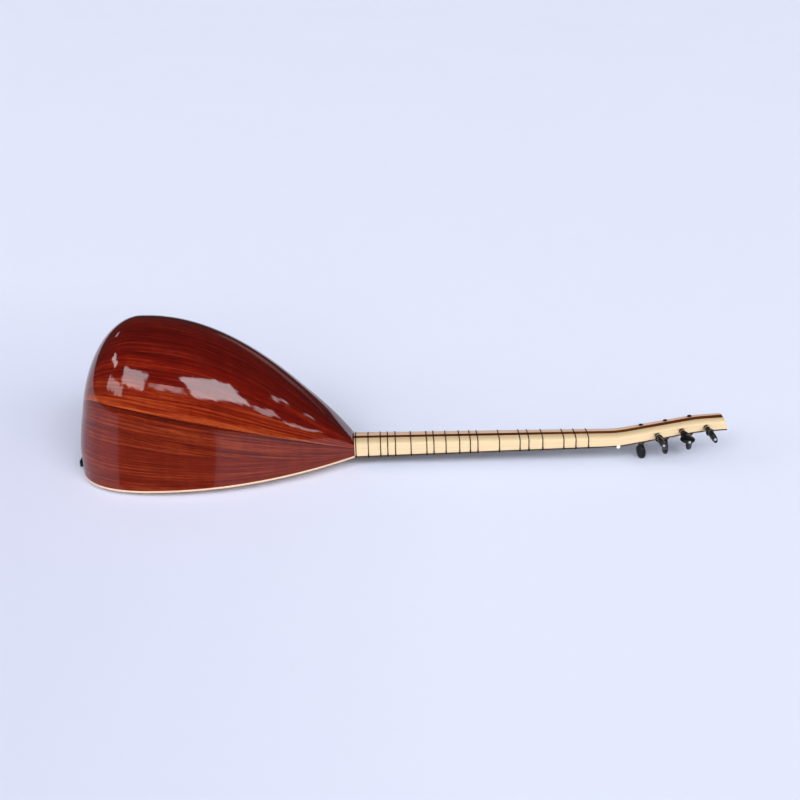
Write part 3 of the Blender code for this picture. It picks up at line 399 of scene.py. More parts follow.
def bowl_wall(x, inset=0.0):
    """Reach of the side wall below the line through the poles, if the soundboard did not close it."""
    run = clamp((WIDEST_FROM_TAIL - x) / (WIDEST_FROM_TAIL - inset))
    return WALL_REACH * (1.0 - run ** TAIL_WALL_POWER) ** (1.0 / TAIL_WALL_POWER)


def roof_power(x):
    """The cross-section grows boxier over the last fifth of the bowl, towards the neck's own section."""
    return between(ROOF_POWER, ROOF_POWER_AT_NECK, clamp(5.0 * x / BOWL_LENGTH - 4.0) ** 2)


def bowl_radius(x, angle, inset=0.0):
    if math.sin(angle) >= 0.0:
        power, reach = roof_power(x), bowl_roof(x, inset)
    else:
        power, reach = WALL_POWER, bowl_wall(x, inset)
    sideways = (abs(math.cos(angle)) / bowl_half_width(x, inset)) ** power
    return (sideways + (abs(math.sin(angle)) / reach) ** power) ** (-1.0 / power)


def flared(x, y, z):
    """The wall low at the tail reaches further out than the wall at the tail pole."""
    run = clamp((z - FLARE_FULL_HEIGHT) / (FLARE_END_HEIGHT - FLARE_FULL_HEIGHT))
    share = 1.0 - run ** 2 * (3.0 - 2.0 * run)
    reach = TAIL_FLARE * share * clamp(1.0 - x / WIDEST_FROM_TAIL)
    return Vector((x - reach, y, z))


def bowl_point(x, angle, inset=0.0):
    radius = bowl_radius(x, angle, inset)
    return flared(x, -radius * math.cos(angle), pole_height(x) + radius * math.sin(angle))


def wall_point(x, height, inset=0.0):
    """Point of the bass side wall at a height above the front face."""
    offset = pole_height(x) - height
    if offset >= 0.0:
        power, reach = WALL_POWER, bowl_wall(x, inset)
    else:
        power, reach = roof_power(x), bowl_roof(x, inset)
    share = clamp(1.0 - (abs(offset) / reach) ** power)
    return flared(x, -bowl_half_width(x, inset) * share ** (1.0 / power), height)


def tail_place(half_width, inset=0.0):
    """Where the plan outline has this half width, near the tail."""
    share = clamp(half_width / (BOWL_HALF_WIDTH - inset))
    run = (1.0 - share ** TAIL_PLAN_POWER) ** (1.0 / TAIL_PLAN_POWER)
    return WIDEST_FROM_TAIL - (WIDEST_FROM_TAIL - inset) * run


def row_places(inset=0.0):
    """Cross-section places from the tail to the neck, closer together where the tail turns."""
    places = []
    for step in range(1, TAILWARD_ROWS + 1):
        angle = 90.0 * (step / TAILWARD_ROWS) ** TAIL_ROW_CROWDING
        turn = max(math.cos(math.radians(angle)), 0.0) ** (2.0 / TAIL_PLAN_POWER)
        places.append(WIDEST_FROM_TAIL - (WIDEST_FROM_TAIL - inset) * turn)
    for step in range(1, NECKWARD_ROWS + 1):
        places.append(between(WIDEST_FROM_TAIL, BOWL_LENGTH, step / NECKWARD_ROWS))
    return places


def pole_row_place(angle, inset):
    """Where a stave's edge leaves the small circle round the tail pole."""
    low, high = inset, inset + POLE_RADIUS * 4.0
    for _ in range(HALVINGS):
        middle = 0.5 * (low + high)
        if middle > inset and bowl_radius(middle, angle, inset) > POLE_RADIUS:
            high = middle
        else:
            low = middle
    return high


def mean_slope(places, values, index):
    """Mean slope of the one or two runs that meet at a place."""
    slopes = []
    for low in (index - 1, index):
        if 0 <= low < len(places) - 1:
            slopes.append((values[low + 1] - values[low]) / (places[low + 1] - places[low]))
    return sum(slopes) / len(slopes)


def smooth_value(places, values, x):
    """Height over x of a smooth curve through the given values."""
    index = 0
    while index < len(places) - 2 and x > places[index + 1]:
        index += 1
    length = places[index + 1] - places[index]
    run = clamp((x - places[index]) / length)
    rise = values[index + 1] - values[index]
    start = mean_slope(places, values, index) * length
    end = mean_slope(places, values, index + 1) * length
    square = 3.0 * rise - 2.0 * start - end
    cube = start + end - 2.0 * rise
    return values[index] + start * run + square * run ** 2 + cube * run ** 3


def stave_angles(x):
    """Edges of the staves over the back at one place, from the bass side to the treble side, in degrees."""
    bass = [smooth_value(STAVE_JOINT_PLACES, angles, x) for angles in STAVE_JOINT_ANGLES]
    return bass + [180.0 - angle for angle in reversed(bass)]


# The neck and head

def eased_ramp(x, centre, length):
    """Zero before a bend, a straight rise after it, and a smooth curve over the bend's length."""
    run = x - centre + length / 2.0
    if run <= 0.0:
        return 0.0
    if run >= length:
        return x - centre
    return run ** 2 / (2.0 * length)


def front_height(x):
    """Height of the fingerboard's and head's front face: level along the neck, rising along the head."""
    first = eased_ramp(x, NUT_FROM_TAIL + FIRST_BEND_FROM_NUT, FIRST_BEND_LENGTH)
    second = eased_ramp(x, NUT_FROM_TAIL + SECOND_BEND_FROM_NUT, SECOND_BEND_LENGTH)
    return HEAD_SLOPE * first - (HEAD_SLOPE - HEAD_TIP_SLOPE) * second


def along_neck(x, at_bowl, at_nut, at_end):
    if x <= NUT_FROM_TAIL:
        return between(at_bowl, at_nut, (x - BOWL_LENGTH) / (NUT_FROM_TAIL - BOWL_LENGTH))
    return between(at_nut, at_end, (x - NUT_FROM_TAIL) / HEAD_LENGTH)


def neck_half_width(x):
    return along_neck(x, NECK_HALF_WIDTH_AT_BOWL, NECK_HALF_WIDTH_AT_NUT, HEAD_END_HALF_WIDTH)


def neck_depth(x):
    return along_neck(x, NECK_DEPTH_AT_BOWL, NECK_DEPTH_AT_NUT, HEAD_END_DEPTH)


def stripe_half_width(x):
    return along_neck(x, STRIPE_HALF_WIDTH_AT_BOWL, STRIPE_HALF_WIDTH_AT_NUT, STRIPE_HALF_WIDTH_AT_END)


def back_edge(x, offset=0.0):
    """Points over the rounded edge of the bass half, from the straight side to the flat back."""
    centre_y = -neck_half_width(x) + BACK_EDGE_WIDTH
    centre_z = front_height(x) + neck_depth(x) - BACK_EDGE_DEPTH
    points = []
    for step in range(BACK_EDGE_STEPS + 1):
        angle = step * math.pi / 2.0 / BACK_EDGE_STEPS
        y = centre_y - (BACK_EDGE_WIDTH + offset) * math.cos(angle)
        z = centre_z + (BACK_EDGE_DEPTH + offset) * math.sin(angle)
        points.append(Vector((x, y, z)))
    return points


def slanted(section):
    """Slant the head's end face, so that the front reaches further out than the back."""
    if section[0].x < HEAD_END_FROM_TAIL:
        return section
    front = front_height(HEAD_END_FROM_TAIL)
    moved = []
    for point in section:
        reach = HEAD_END_SLANT * (1.0 - (point.z - front) / HEAD_END_DEPTH)
        moved.append(Vector((point.x + reach, point.y, point.z)))
    return moved


def neck_rows(start, end):
    """Section places at an even spacing."""
    count = max(2, round((end - start) / NECK_ROW_SPACING))
    return [between(start, end, step / count) for step in range(count + 1)]


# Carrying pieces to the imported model

def instrument_frame():
    """The instrument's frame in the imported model, read from a fret's direction and a peg's place."""
    lengthwise = Vector(joint_named("fret_01_shift")["axis"])
    sideways = Vector((0.0, 1.0, 0.0))
    backward = lengthwise.cross(sideways)
    turn = Matrix((lengthwise, sideways, backward)).transposed()
    peg_x = NUT_FROM_TAIL + FIRST_PEG_FROM_NUT
    peg_place = Vector((peg_x, FRONT_PEG_OFFSET, front_height(peg_x)))
    whole = turn.to_4x4()
    whole.translation = Vector(joint_named("peg_front_1_turn")["pos_m"]) - turn @ peg_place
    return whole


INSTRUMENT = instrument_frame()


def mesh_from(name, shape, sharp_angle=SHARP_ANGLE):
    bmesh.ops.recalc_face_normals(shape, faces=shape.faces)
    mesh = bpy.data.meshes.new(name)
    shape.to_mesh(mesh)
    shape.free()
    mesh.shade_smooth()
    mesh.set_sharp_from_angle(angle=math.radians(sharp_angle))
    return mesh


def set_grain(mesh, places):
    """Keep each point's place in its own board, which the wood's grain follows."""
    grain = mesh.attributes.new("grain", "FLOAT_VECTOR", "POINT")
    for item, place in zip(grain.data, places):
        item.vector = place


def set_own_grain(mesh, offset=0.0):
    """Grain that runs straight along the instrument."""
    set_grain(mesh, [(v.co.x, v.co.y + offset, v.co.z) for v in mesh.vertices])


def settle(name, mesh, material, body="instrument", stands_for=None):
    """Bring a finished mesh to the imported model's place, and let it ride on its body."""
    mesh.transform(INSTRUMENT)
    piece = add_object(name, mesh)
    mesh.materials.append(material)
    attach(piece, body)
    if stands_for is not None:
        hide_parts(stands_for)


def grid_faces(shape, rows, closed_along=False):
    """Faces between rows of points, each row closed on itself."""
    count = len(rows[0])
    pairs = list(zip(rows, rows[1:]))
    if closed_along:
        pairs.append((rows[-1], rows[0]))
    for row, following in pairs:
        for index in range(count):
            beside = (index + 1) % count
            shape.faces.new((row[index], row[beside], following[beside], following[index]))


def loft(name, sections, closed_along=False, sharp_angle=SHARP_ANGLE, folded=False):
    """Skin a row of closed sections with equally many points, and close the ends."""
    shape = bmesh.new()
    rows = [[shape.verts.new(point) for point in section] for section in sections]
    grid_faces(shape, rows, closed_along=closed_along)
    if not closed_along:
        for row in (rows[0], rows[-1]):
            if folded:
                half = len(row) // 2
                for index in range(half - 1):
                    shape.faces.new((row[index], row[index + 1], row[-index - 2], row[-index - 1]))
            else:
                shape.faces.new(row)
    return mesh_from(name, shape, sharp_angle)


def tube(name, points, radius, sides, normal):
    """A round tube along a path, with rings that turn no more than the path does."""
    shape = bmesh.new()
    rows = []
    for index, point in enumerate(points):
        ahead = points[min(index + 1, len(points) - 1)]
        behind = points[max(index - 1, 0)]
        direction = (ahead - behind).normalized()
        normal = (normal - direction * normal.dot(direction)).normalized()
        beside = direction.cross(normal)
        offsets = [normal * up + beside * over for up, over in circle(1.0, sides)]
        rows.append([shape.verts.new(point + offset * radius) for offset in offsets])
    grid_faces(shape, rows)
    shape.faces.new(rows[0])
    shape.faces.new(rows[-1])
    return mesh_from(name, shape, ROUND_SHARP_ANGLE)


def cut(mesh, cutters):
    """Take the cutters' volume out of a mesh, and keep the result as a plain mesh."""
    body = add_object("uncut", mesh)
    knives = []
    for cutter in cutters:
        knife = add_object("cutter", cutter)
        step = body.modifiers.new("cut", "BOOLEAN")
        step.operation = "DIFFERENCE"
        step.solver = "EXACT"
        step.object = knife
        knives.append(knife)
    bpy.context.view_layer.update()
    graph = bpy.context.evaluated_depsgraph_get()
    result = bpy.data.meshes.new_from_object(body.evaluated_get(graph))
    for item in [body, *knives]:
        bpy.data.objects.remove(item)
    result.name = mesh.name
    return result


# Shader building

class Web:
    """The nodes of one material, group or world, with short ways to add to them."""

    def __init__(self, tree):
        self.nodes, self.links = tree.nodes, tree.links

    def feed(self, node, inputs):
        """Give a node's inputs their values, or join them to the outputs of other nodes."""
        for key, value in inputs.items():
            if isinstance(value, bpy.types.NodeSocket):
                self.links.new(value, node.inputs[key])
            else:
                node.inputs[key].default_value = value

    def add(self, kind, inputs=None, **settings):
        """Add a node and return its outputs."""
        node = self.nodes.new(kind)
        for key, value in settings.items():
            setattr(node, key, value)
        self.feed(node, inputs or {})
        return node.outputs

    def math(self, operation, first, second=0.0, limit=False):
        return self.add("ShaderNodeMath", {0: first, 1: second}, operation=operation, use_clamp=limit)[0]

    def mix(self, share, first, second):
        """Mix two colours."""
        return self.add("ShaderNodeMix", {0: share, 6: first, 7: second}, data_type="RGBA")[2]

    def noise(self, place, stretch, detail, roughness=0.5):
        """Noise drawn out along the grain. The stretch says how often it changes per metre, each way."""
        place = self.add("ShaderNodeMapping", {"Vector": place, "Scale": stretch})["Vector"]
        return self.add("ShaderNodeTexNoise", {
            "Vector": place, "Scale": 1.0, "Detail": detail, "Roughness": roughness,
        })["Fac"]

    def steep(self, value, low, high):
        """Spread the part of a value between low and high over the whole range."""
        return self.add("ShaderNodeMapRange", {"Value": value, "From Min": low, "From Max": high})["Result"]

    def bump(self, height, distance, strength):
        inputs = {"Height": height, "Distance": distance, "Strength": strength}
        return self.add("ShaderNodeBump", inputs)["Normal"]

    def attribute(self, name, output):
        return self.add("ShaderNodeAttribute", attribute_name=name)[output]

    def object_place(self):
        return self.add("ShaderNodeTexCoord")["Object"]


def new_material(name):
    material = bpy.data.materials.new(name)
    material.use_nodes = True
    web = Web(material.node_tree)
    return material, web, web.nodes["Principled BSDF"]


def new_group(name, inputs, outputs):
    """A shader group. Its inputs and outputs each have a label and a kind of value."""
    group = bpy.data.node_groups.new(name, "ShaderNodeTree")
    for label, kind in inputs.items():
        group.interface.new_socket(name=label, in_out="INPUT", socket_type="NodeSocket" + kind)
    for label, kind in outputs.items():
        group.interface.new_socket(name=label, in_out="OUTPUT", socket_type="NodeSocket" + kind)
    web = Web(group)
    return group, web, web.add("NodeGroupInput"), web.nodes.new("NodeGroupOutput")


def build_streak_group():
    """Broad and fine streaks along the grain, and short dark pores."""
    group, web, given, end = new_group("wood_streaks", {
        "Place": "Vector", "Dark": "Color", "Middle": "Color", "Light": "Color",
        "Broad": "Float", "Pores": "Float", "Tint": "Float",
    }, {"Color": "Color", "Height": "Float"})
    place = given["Place"]
    broad = web.steep(web.noise(place, BROAD_STREAKS, 3.0, 0.55), 0.30, 0.70)
    fine = web.steep(web.noise(place, FINE_STREAKS, 4.0, 0.65), 0.33, 0.67)
    curl = web.math("SUBTRACT", web.noise(place, CURL, 2.0), 0.5)
    broad_part = web.math("MULTIPLY", broad, given["Broad"])
    fine_part = web.math("MULTIPLY", fine, web.math("SUBTRACT", 1.0, given["Broad"]))
    streak = web.math("ADD", broad_part, fine_part)
    streak = web.math("ADD", streak, web.math("MULTIPLY", curl, CURL_STRENGTH))
    # On the staves the tint carries a painted highlight as well as their tone
    streak = web.math("ADD", streak, given["Tint"], limit=True)
    dark_side = web.math("MULTIPLY", streak, 2.0, limit=True)
    light_side = web.math("SUBTRACT", web.math("MULTIPLY", streak, 2.0), 1.0, limit=True)
    colour = web.mix(dark_side, given["Dark"], given["Middle"])
    colour = web.mix(light_side, colour, given["Light"])
    pores = web.steep(web.noise(place, PORES, 4.0, 0.65), 0.52, 0.66)
    pore_share = web.math("MULTIPLY", pores, given["Pores"], limit=True)
    colour = web.mix(pore_share, colour, given["Dark"])
    web.feed(end, {"Color": colour, "Height": web.math("SUBTRACT", fine, pores)})
    return group


def build_ring_group():
    """Straight annual rings of a softwood or pale hardwood, as fine lines along the grain."""
    group, web, given, end = new_group("wood_rings", {
        "Place": "Vector", "Early": "Color", "Late": "Color", "Spacing": "Float", "Strength": "Float",
    }, {"Color": "Color", "Height": "Float"})
    place = given["Place"]
    wander = web.math("SUBTRACT", web.noise(place, RING_WANDER, 3.0), 0.5)
    blotch = web.math("SUBTRACT", web.noise(place, RING_BLOTCHES, 4.0, 0.6), 0.5)
    split = web.add("ShaderNodeSeparateXYZ", {"Vector": place})
    across = web.math("ADD", split["Y"], web.math("MULTIPLY", split["Z"], RING_TILT))
    across = web.math("ADD", across, web.math("MULTIPLY", wander, RING_WANDER_REACH))
    ring = web.math("FRACT", web.math("DIVIDE", across, given["Spacing"]))
    ring = web.math("POWER", ring, RING_SHARPNESS)
    share = web.math("MULTIPLY", ring, given["Strength"])
    share = web.math("ADD", share, web.math("MULTIPLY", blotch, 0.5), limit=True)
    web.feed(end, {"Color": web.mix(share, given["Early"], given["Late"]), "Height": ring})
    return group


def build_unevenness_group():
    """The slow waves, small specks and faint smears that a hand-rubbed surface keeps."""
    group, web, given, end = new_group(
        "lacquer_unevenness", {"Place": "Vector"}, {"Height": "Float", "Smear": "Float"}
    )
    place = given["Place"]
    waves = web.math("MULTIPLY", web.noise(place, WAVES, 2.0, 0.4), WAVE_HEIGHT)
    specks = web.math("MULTIPLY", web.noise(place, SPECKS, 1.0), SPECK_HEIGHT)
    smear = web.noise(place, SMEARS, 3.0, 0.6)
    web.feed(end, {"Height": web.math("ADD", waves, specks), "Smear": smear})
    return group


STREAKS = build_streak_group()
RINGS = build_ring_group()
UNEVENNESS = build_unevenness_group()


def lacquered_streaks(name, tones, broad=0.55, pores=0.35, coat=1.0, coat_roughness=0.04, specular=0.0):
    """Dark hardwood under a clear gloss lacquer. The tones are dark, middle and light."""
    material, web, shader = new_material(name)
    dark, middle, light = ((*tone, 1.0) for tone in tones)
    wood = web.add("ShaderNodeGroup", {
        "Place": web.attribute("grain", "Vector"), "Tint": web.attribute("tint", "Fac"),
        "Dark": dark, "Middle": middle, "Light": light, "Broad": broad, "Pores": pores,
    }, node_tree=STREAKS)
    web.feed(shader, {
        "Base Color": wood["Color"], "Normal": web.bump(wood["Height"], STREAK_BUMP, 0.25),
        "Roughness": 0.35, "Specular IOR Level": specular,
        "Coat Weight": coat, "Coat Roughness": coat_roughness, "Coat IOR": LACQUER_IOR,
    })
    return material


def ringed_wood(name, early, late, spacing, strength, roughness, coat, grained=True):
    """Pale wood with fine straight rings, bare or under a thin lacquer."""
    material, web, shader = new_material(name)
    wood = web.add("ShaderNodeGroup", {
        "Place": web.attribute("grain", "Vector") if grained else web.object_place(),
        "Early": (*early, 1.0), "Late": (*late, 1.0), "Spacing": spacing, "Strength": strength,
    }, node_tree=RINGS)
    web.feed(shader, {
        "Base Color": wood["Color"], "Normal": web.bump(wood["Height"], SMALL_BUMP, 0.3),
        "Roughness": roughness, "Coat Weight": coat, "Coat Roughness": THIN_COAT_ROUGHNESS,
    })
    return material


def smooth_finish(name, colour, second, roughness, metallic=0.0, coat=0.0, fineness=300.0, specular=0.5):
    """A smooth material whose colour and gloss drift a little, such as bone, nylon or wire."""
    material, web, shader = new_material(name)
    place = web.object_place()
    drift = web.noise(place, (fineness, fineness, fineness), 3.0, 0.6)
    surface = web.add("ShaderNodeGroup", {"Place": place}, node_tree=UNEVENNESS)
    rough = web.math("MULTIPLY", surface["Smear"], roughness * 0.6)
    web.feed(shader, {
        "Base Color": web.mix(drift, (*colour, 1.0), (*second, 1.0)),
        "Roughness": web.math("ADD", rough, roughness * 0.7),
        "Normal": web.bump(surface["Height"], SMALL_BUMP, 0.3),
        "Metallic": metallic, "Specular IOR Level": specular, "Coat Weight": coat,
    })
    return material


# Bowl pieces

def stave_tint_and_highlight(twin, share):
    """How much lighter or darker a stave is at a share of its width, counted from its lower joint. The light
    band along the third stave's lower joint is a painted highlight.
    """
    return smooth_value(TINT_PLACES, STAVE_TINTS_AND_HIGHLIGHT[twin], share)


def distances_along(rows):
    """Distance of each section along a row of sections, measured on their middle points."""
    along = [0.0]
    for row, following in zip(rows, rows[1:]):
        middle = len(row) // 2
        along.append(along[-1] + (following[middle] - row[middle]).length)
    return along


def stave_mesh(name, outer_rows, inner_rows, twin, flipped, seed):
    """A stave from rows of points on its outer and inner skins, with the grain along its length."""
    sections = [outer + inner[::-1] for outer, inner in zip(outer_rows, inner_rows)]
    mesh = loft(name, sections, folded=True, sharp_angle=STAVE_SHARP_ANGLE)
    widest = max((row[0] - row[-1]).length for row in outer_rows)
    places = []
    tints = []
    for distance, outer, inner in zip(distances_along(outer_rows), outer_rows, inner_rows):
        width = 0.5 * (outer[0] - outer[-1]).length + 0.5 * widest
        for row, depth in ((outer, 0.0), (inner[::-1], STAVE_THICKNESS)):
            for index in range(len(row)):
                share = index / (len(row) - 1)
                if depth:
                    share = 1.0 - share
                across = (share - 0.5) * width + seed * STAVE_GRAIN_SIDE_SHIFT
                places.append((distance + seed, across, depth + seed))
                tints.append(stave_tint_and_highlight(twin, 1.0 - share if flipped else share))
    set_grain(mesh, places)
    tint = mesh.attributes.new("tint", "FLOAT", "POINT")
    tint.data.foreach_set("value", tints)
    return mesh


def drawn_in(points):
    """Draw the two end points of a row in by half the width of a glued joint."""
    drawn = list(points)
    drawn[0] = points[0] + (points[1] - points[0]).normalized() * JOINT_WIDTH / 2.0
    drawn[-1] = points[-1] + (points[-2] - points[-1]).normalized() * JOINT_WIDTH / 2.0
    return drawn


def back_stave_row(x, number, inset):
    """One row of a stave. With no place given it is the row round the tail pole."""
    low, high = stave_angles(x or 0.0)[number:number + 2]
    points = []
    for step in range(STAVE_COLUMNS + 1):
        angle = math.radians(between(low, high, step / STAVE_COLUMNS))
        place = pole_row_place(angle, inset) if x is None else x
        points.append(bowl_point(place, angle, inset))
    return drawn_in(points)


def rim_stave_row(x, inset, side):
    top = bowl_point(x, math.radians(stave_angles(x)[0]), inset).z - JOINT_WIDTH / 2.0
    points = []
    for step in range(RIM_COLUMNS + 1):
        point = wall_point(x, between(RIM_HEIGHT, top, step / RIM_COLUMNS), inset)
        points.append(mirrored(point, side))
    return points


def sound_hole_cutter():
    rings = []
    for x in (-2.0 * SOUND_HOLE_RADIUS, 2.0 * SOUND_HOLE_RADIUS):
        corners = circle(SOUND_HOLE_RADIUS, SOUND_HOLE_SIDES)
        rings.append([Vector((x, SOUND_HOLE_OFFSET + y, SOUND_HOLE_HEIGHT + z)) for y, z in corners])
    return loft("sound_hole_cutter", rings)


def make_staves():
    materials = []
    # The upper staves' tones carry painted shade on the top of the bowl
    for index, tones in enumerate(STAVE_TONES_WITH_PAINTED_SHADE):
        materials.append(lacquered_streaks(
            "painted_shade_mahogany_%d" % (index + 1), tones, broad=0.42, pores=0.45,
            coat=STAVE_COATS[index], coat_roughness=STAVE_COAT_ROUGHNESSES[index],
        ))
    for index in range(STAVE_COUNT):
        name = "stave_%02d" % (index + 1)
        twin = min(index, STAVE_COUNT - 1 - index)
        if twin == 0:
            side = 1.0 if index == 0 else -1.0
            outer_places = [tail_place(JOINT_WIDTH / 2.0)] + row_places()
            inner_places = [tail_place(JOINT_WIDTH / 2.0, STAVE_THICKNESS)] + row_places(STAVE_THICKNESS)
            outer_rows = [rim_stave_row(x, 0.0, side) for x in outer_places]
            inner_rows = [rim_stave_row(x, STAVE_THICKNESS, side) for x in inner_places]
        else:
            outer_rows = [back_stave_row(x, index - 1, 0.0) for x in [None] + row_places()]
            inner_places = [None] + row_places(STAVE_THICKNESS)
            inner_rows = [back_stave_row(x, index - 1, STAVE_THICKNESS) for x in inner_places]
        flipped = STAVE_COUNT // 2 < index < STAVE_COUNT - 1
        mesh = stave_mesh(name, outer_rows, inner_rows, twin, flipped, STAVE_GRAIN_SHIFT * (index + 1))
        if index == STAVE_COUNT - 1:
            mesh = cut(mesh, [sound_hole_cutter()])
        settle(name, mesh, materials[twin], stands_for=name)


def make_soundboard(material):
    bass = [wall_point(x, 0.0) for x in [tail_place(SOUNDBOARD_TAIL_HALF_WIDTH)] + row_places()]
    outline = bass + [mirrored(point) for point in reversed(bass)]
    sections = []
    for z, inset in ((0.0, EDGE_EASE), (EDGE_EASE, 0.0), (SOUNDBOARD_THICKNESS, 0.0)):
        sections.append([shrunk(point, inset) + Vector((0.0, 0.0, z)) for point in outline])
    mesh = loft("soundboard", sections, sharp_angle=BOARD_SHARP_ANGLE)
    set_own_grain(mesh)
    settle("soundboard", mesh, material, stands_for="soundboard")


def shrunk(point, inset):
    """Draw a point of the soundboard's outline towards the board's middle line."""
    centre = Vector((WIDEST_FROM_TAIL, 0.0, point.z))
    return point + (centre - point).normalized() * inset


# Neck pieces

def neck_section(x):
    """Half of the neck's section on the bass side, from the fingerboard round the back to the stripe."""
    floor = front_height(x) + FINGERBOARD_THICKNESS + NECK_JOINT_WIDTH
    inner_y = -stripe_half_width(x) - NECK_JOINT_WIDTH
    section = [Vector((x, -neck_half_width(x), floor))]
    section += back_edge(x)
    section.append(Vector((x, inner_y, front_height(x) + neck_depth(x))))
    section.append(Vector((x, inner_y, floor)))
    return slanted(section)


def peg_frames():
    """The six pegs' places on the head, each with its local +Z pointing to the grip."""
    frames = {}
    for number in range(PEG_PAIRS):
        x = NUT_FROM_TAIL + FIRST_PEG_FROM_NUT + 2 * number * PEG_PITCH
        outward = Vector((math.sin(PEG_LEAN), 0.0, -math.cos(PEG_LEAN)))
        origin = Vector((x, FRONT_PEG_OFFSET, front_height(x)))
        frames["peg_front_%d" % (number + 1)] = axis_frame(origin, outward, Vector((0.0, 1.0, 0.0)))
        x += PEG_PITCH
        outward = Vector((math.sin(PEG_LEAN), -math.cos(PEG_LEAN), 0.0))
        height = front_height(x) + SIDE_PEG_HEIGHT_SHARE * neck_depth(x)
        origin = Vector((x, -neck_half_width(x), height))
        frames["peg_side_%d" % (number + 1)] = axis_frame(origin, outward, Vector((0.0, 0.0, -1.0)))
    return frames


def axis_frame(origin, outward, sideways):
    turned = Matrix((sideways.cross(outward), sideways, outward)).transposed().to_4x4()
    turned.translation = origin
    return turned


def peg_length(name):
    """How far the shaft runs into the head, from its face to its tip."""
    if name.startswith("peg_front"):
        return NECK_DEPTH_AT_NUT + PEG_TIP_PROUD
    return 2.0 * NECK_HALF_WIDTH_AT_NUT + PEG_TIP_PROUD


def shaft_radius_at(depth, length):
    return between(PEG_TIP_RADIUS, PEG_SHAFT_RADIUS, clamp((depth + length) / (length + PEG_TAPER_END)))


def peg_hole_cutter(name, place):
    length = peg_length(name)
    rings = []
    for depth in (-length - PEG_HOLE_PAST_TIP, PEG_HOLE_PAST_FACE):
        radius = shaft_radius_at(depth, length) + PEG_HOLE_CLEARANCE
        rings.append([place @ Vector((*corner, depth)) for corner in circle(radius, PEG_SIDES)])
    return loft(name + "_hole", rings)


def peg_holes(frames, kind):
    return [peg_hole_cutter(name, place) for name, place in frames.items() if name.startswith(kind)]


def make_neck(frames, pale, shaded_pink, stripe_finish, board_finish):
    rows = neck_rows(BOWL_LENGTH + NECK_END_GAP, HEAD_END_FROM_TAIL)
    # The treble half uses a shaded copy of the hornbeam, painted pinker for the half that lies away from the
    # light
    for name, side, half_finish in (("neck_bass_half", 1.0, pale), ("neck_treble_half", -1.0, shaded_pink)):
        sections = [[mirrored(point, side) for point in neck_section(x)] for x in rows]
        mesh = loft(name, sections, sharp_angle=NECK_SHARP_ANGLE)
        holes = peg_holes(frames, "peg_side")
        if side < 0.0:
            holes += peg_holes(frames, "peg_front")
        mesh = cut(mesh, holes)
        set_own_grain(mesh, NECK_GRAIN_SHIFT * side)
        settle(name, mesh, half_finish, stands_for=name)
    sections = [bar_section(x, stripe_half_width(x), FINGERBOARD_THICKNESS, neck_depth(x)) for x in rows]
    mesh = cut(loft("neck_stripe", sections), peg_holes(frames, "peg_side"))
    set_own_grain(mesh)
    settle("neck_stripe", mesh, stripe_finish, stands_for="neck_stripe")
    for name, start, end in (
        ("fingerboard", BOWL_LENGTH + NECK_END_GAP, NUT_FROM_TAIL - NECK_END_GAP),
        ("head_plate", NUT_FROM_TAIL + NUT_THICKNESS + NECK_END_GAP, HEAD_END_FROM_TAIL),
    ):
        places = neck_rows(start, end)
        sections = [bar_section(x, neck_half_width(x), 0.0, FINGERBOARD_THICKNESS) for x in places]
        mesh = loft(name, sections)
        if name == "head_plate":
            mesh = cut(mesh, peg_holes(frames, "peg_front"))
        set_own_grain(mesh, BOARD_GRAIN_SHIFT)
        settle(name, mesh, board_finish, stands_for=name)


def bar_section(x, half_width, low, high):
    """A flat bar's section, its heights counted from the front face."""
    base = front_height(x)
    ease = min(EDGE_EASE, half_width / 4.0)
    corners = (
        (-half_width + ease, low), (half_width - ease, low), (half_width, low + ease), (half_width, high),
        (-half_width, high), (-half_width, low + ease),
    )
    return slanted([Vector((x, y, base + z)) for y, z in corners])


# Notched bars

def notched_outline(half_width, base, crest, notches, chamfer):
    """Outline across the strings. The crest faces the front, so it lies below the base."""
    points = [(-half_width, base), (-half_width, crest + chamfer), (-half_width + chamfer, crest)]
    for y in notches:
        for edge, depth in ((-1, 0.0), (-1, NOTCH_DEPTH), (1, NOTCH_DEPTH), (1, 0.0)):
            points.append((y + edge * NOTCH_WIDTH / 2.0, crest + depth))
    points += [(half_width - chamfer, crest), (half_width, crest + chamfer), (half_width, base)]
    return points


def make_notched_bar(name, outline, thickness_at, centre_x, material):
    sections = []
    for side in (-1.0, 1.0):
        sections.append([Vector((centre_x + side * thickness_at(z) / 2.0, y, z)) for y, z in outline])
    shape = bmesh.new()
    shape.from_mesh(loft(name, sections))
    least = math.radians(BAR_EASED_ANGLE)
    sharp = [edge for edge in shape.edges if edge.is_manifold and edge.calc_face_angle(0.0) > least]
    bmesh.ops.bevel(shape, geom=sharp, offset=BAR_EDGE_EASE, segments=2, affect="EDGES", clamp_overlap=True)
    mesh = mesh_from(name, shape, BAR_SHARP_ANGLE)
    set_own_grain(mesh)
    settle(name, mesh, material, stands_for=name)


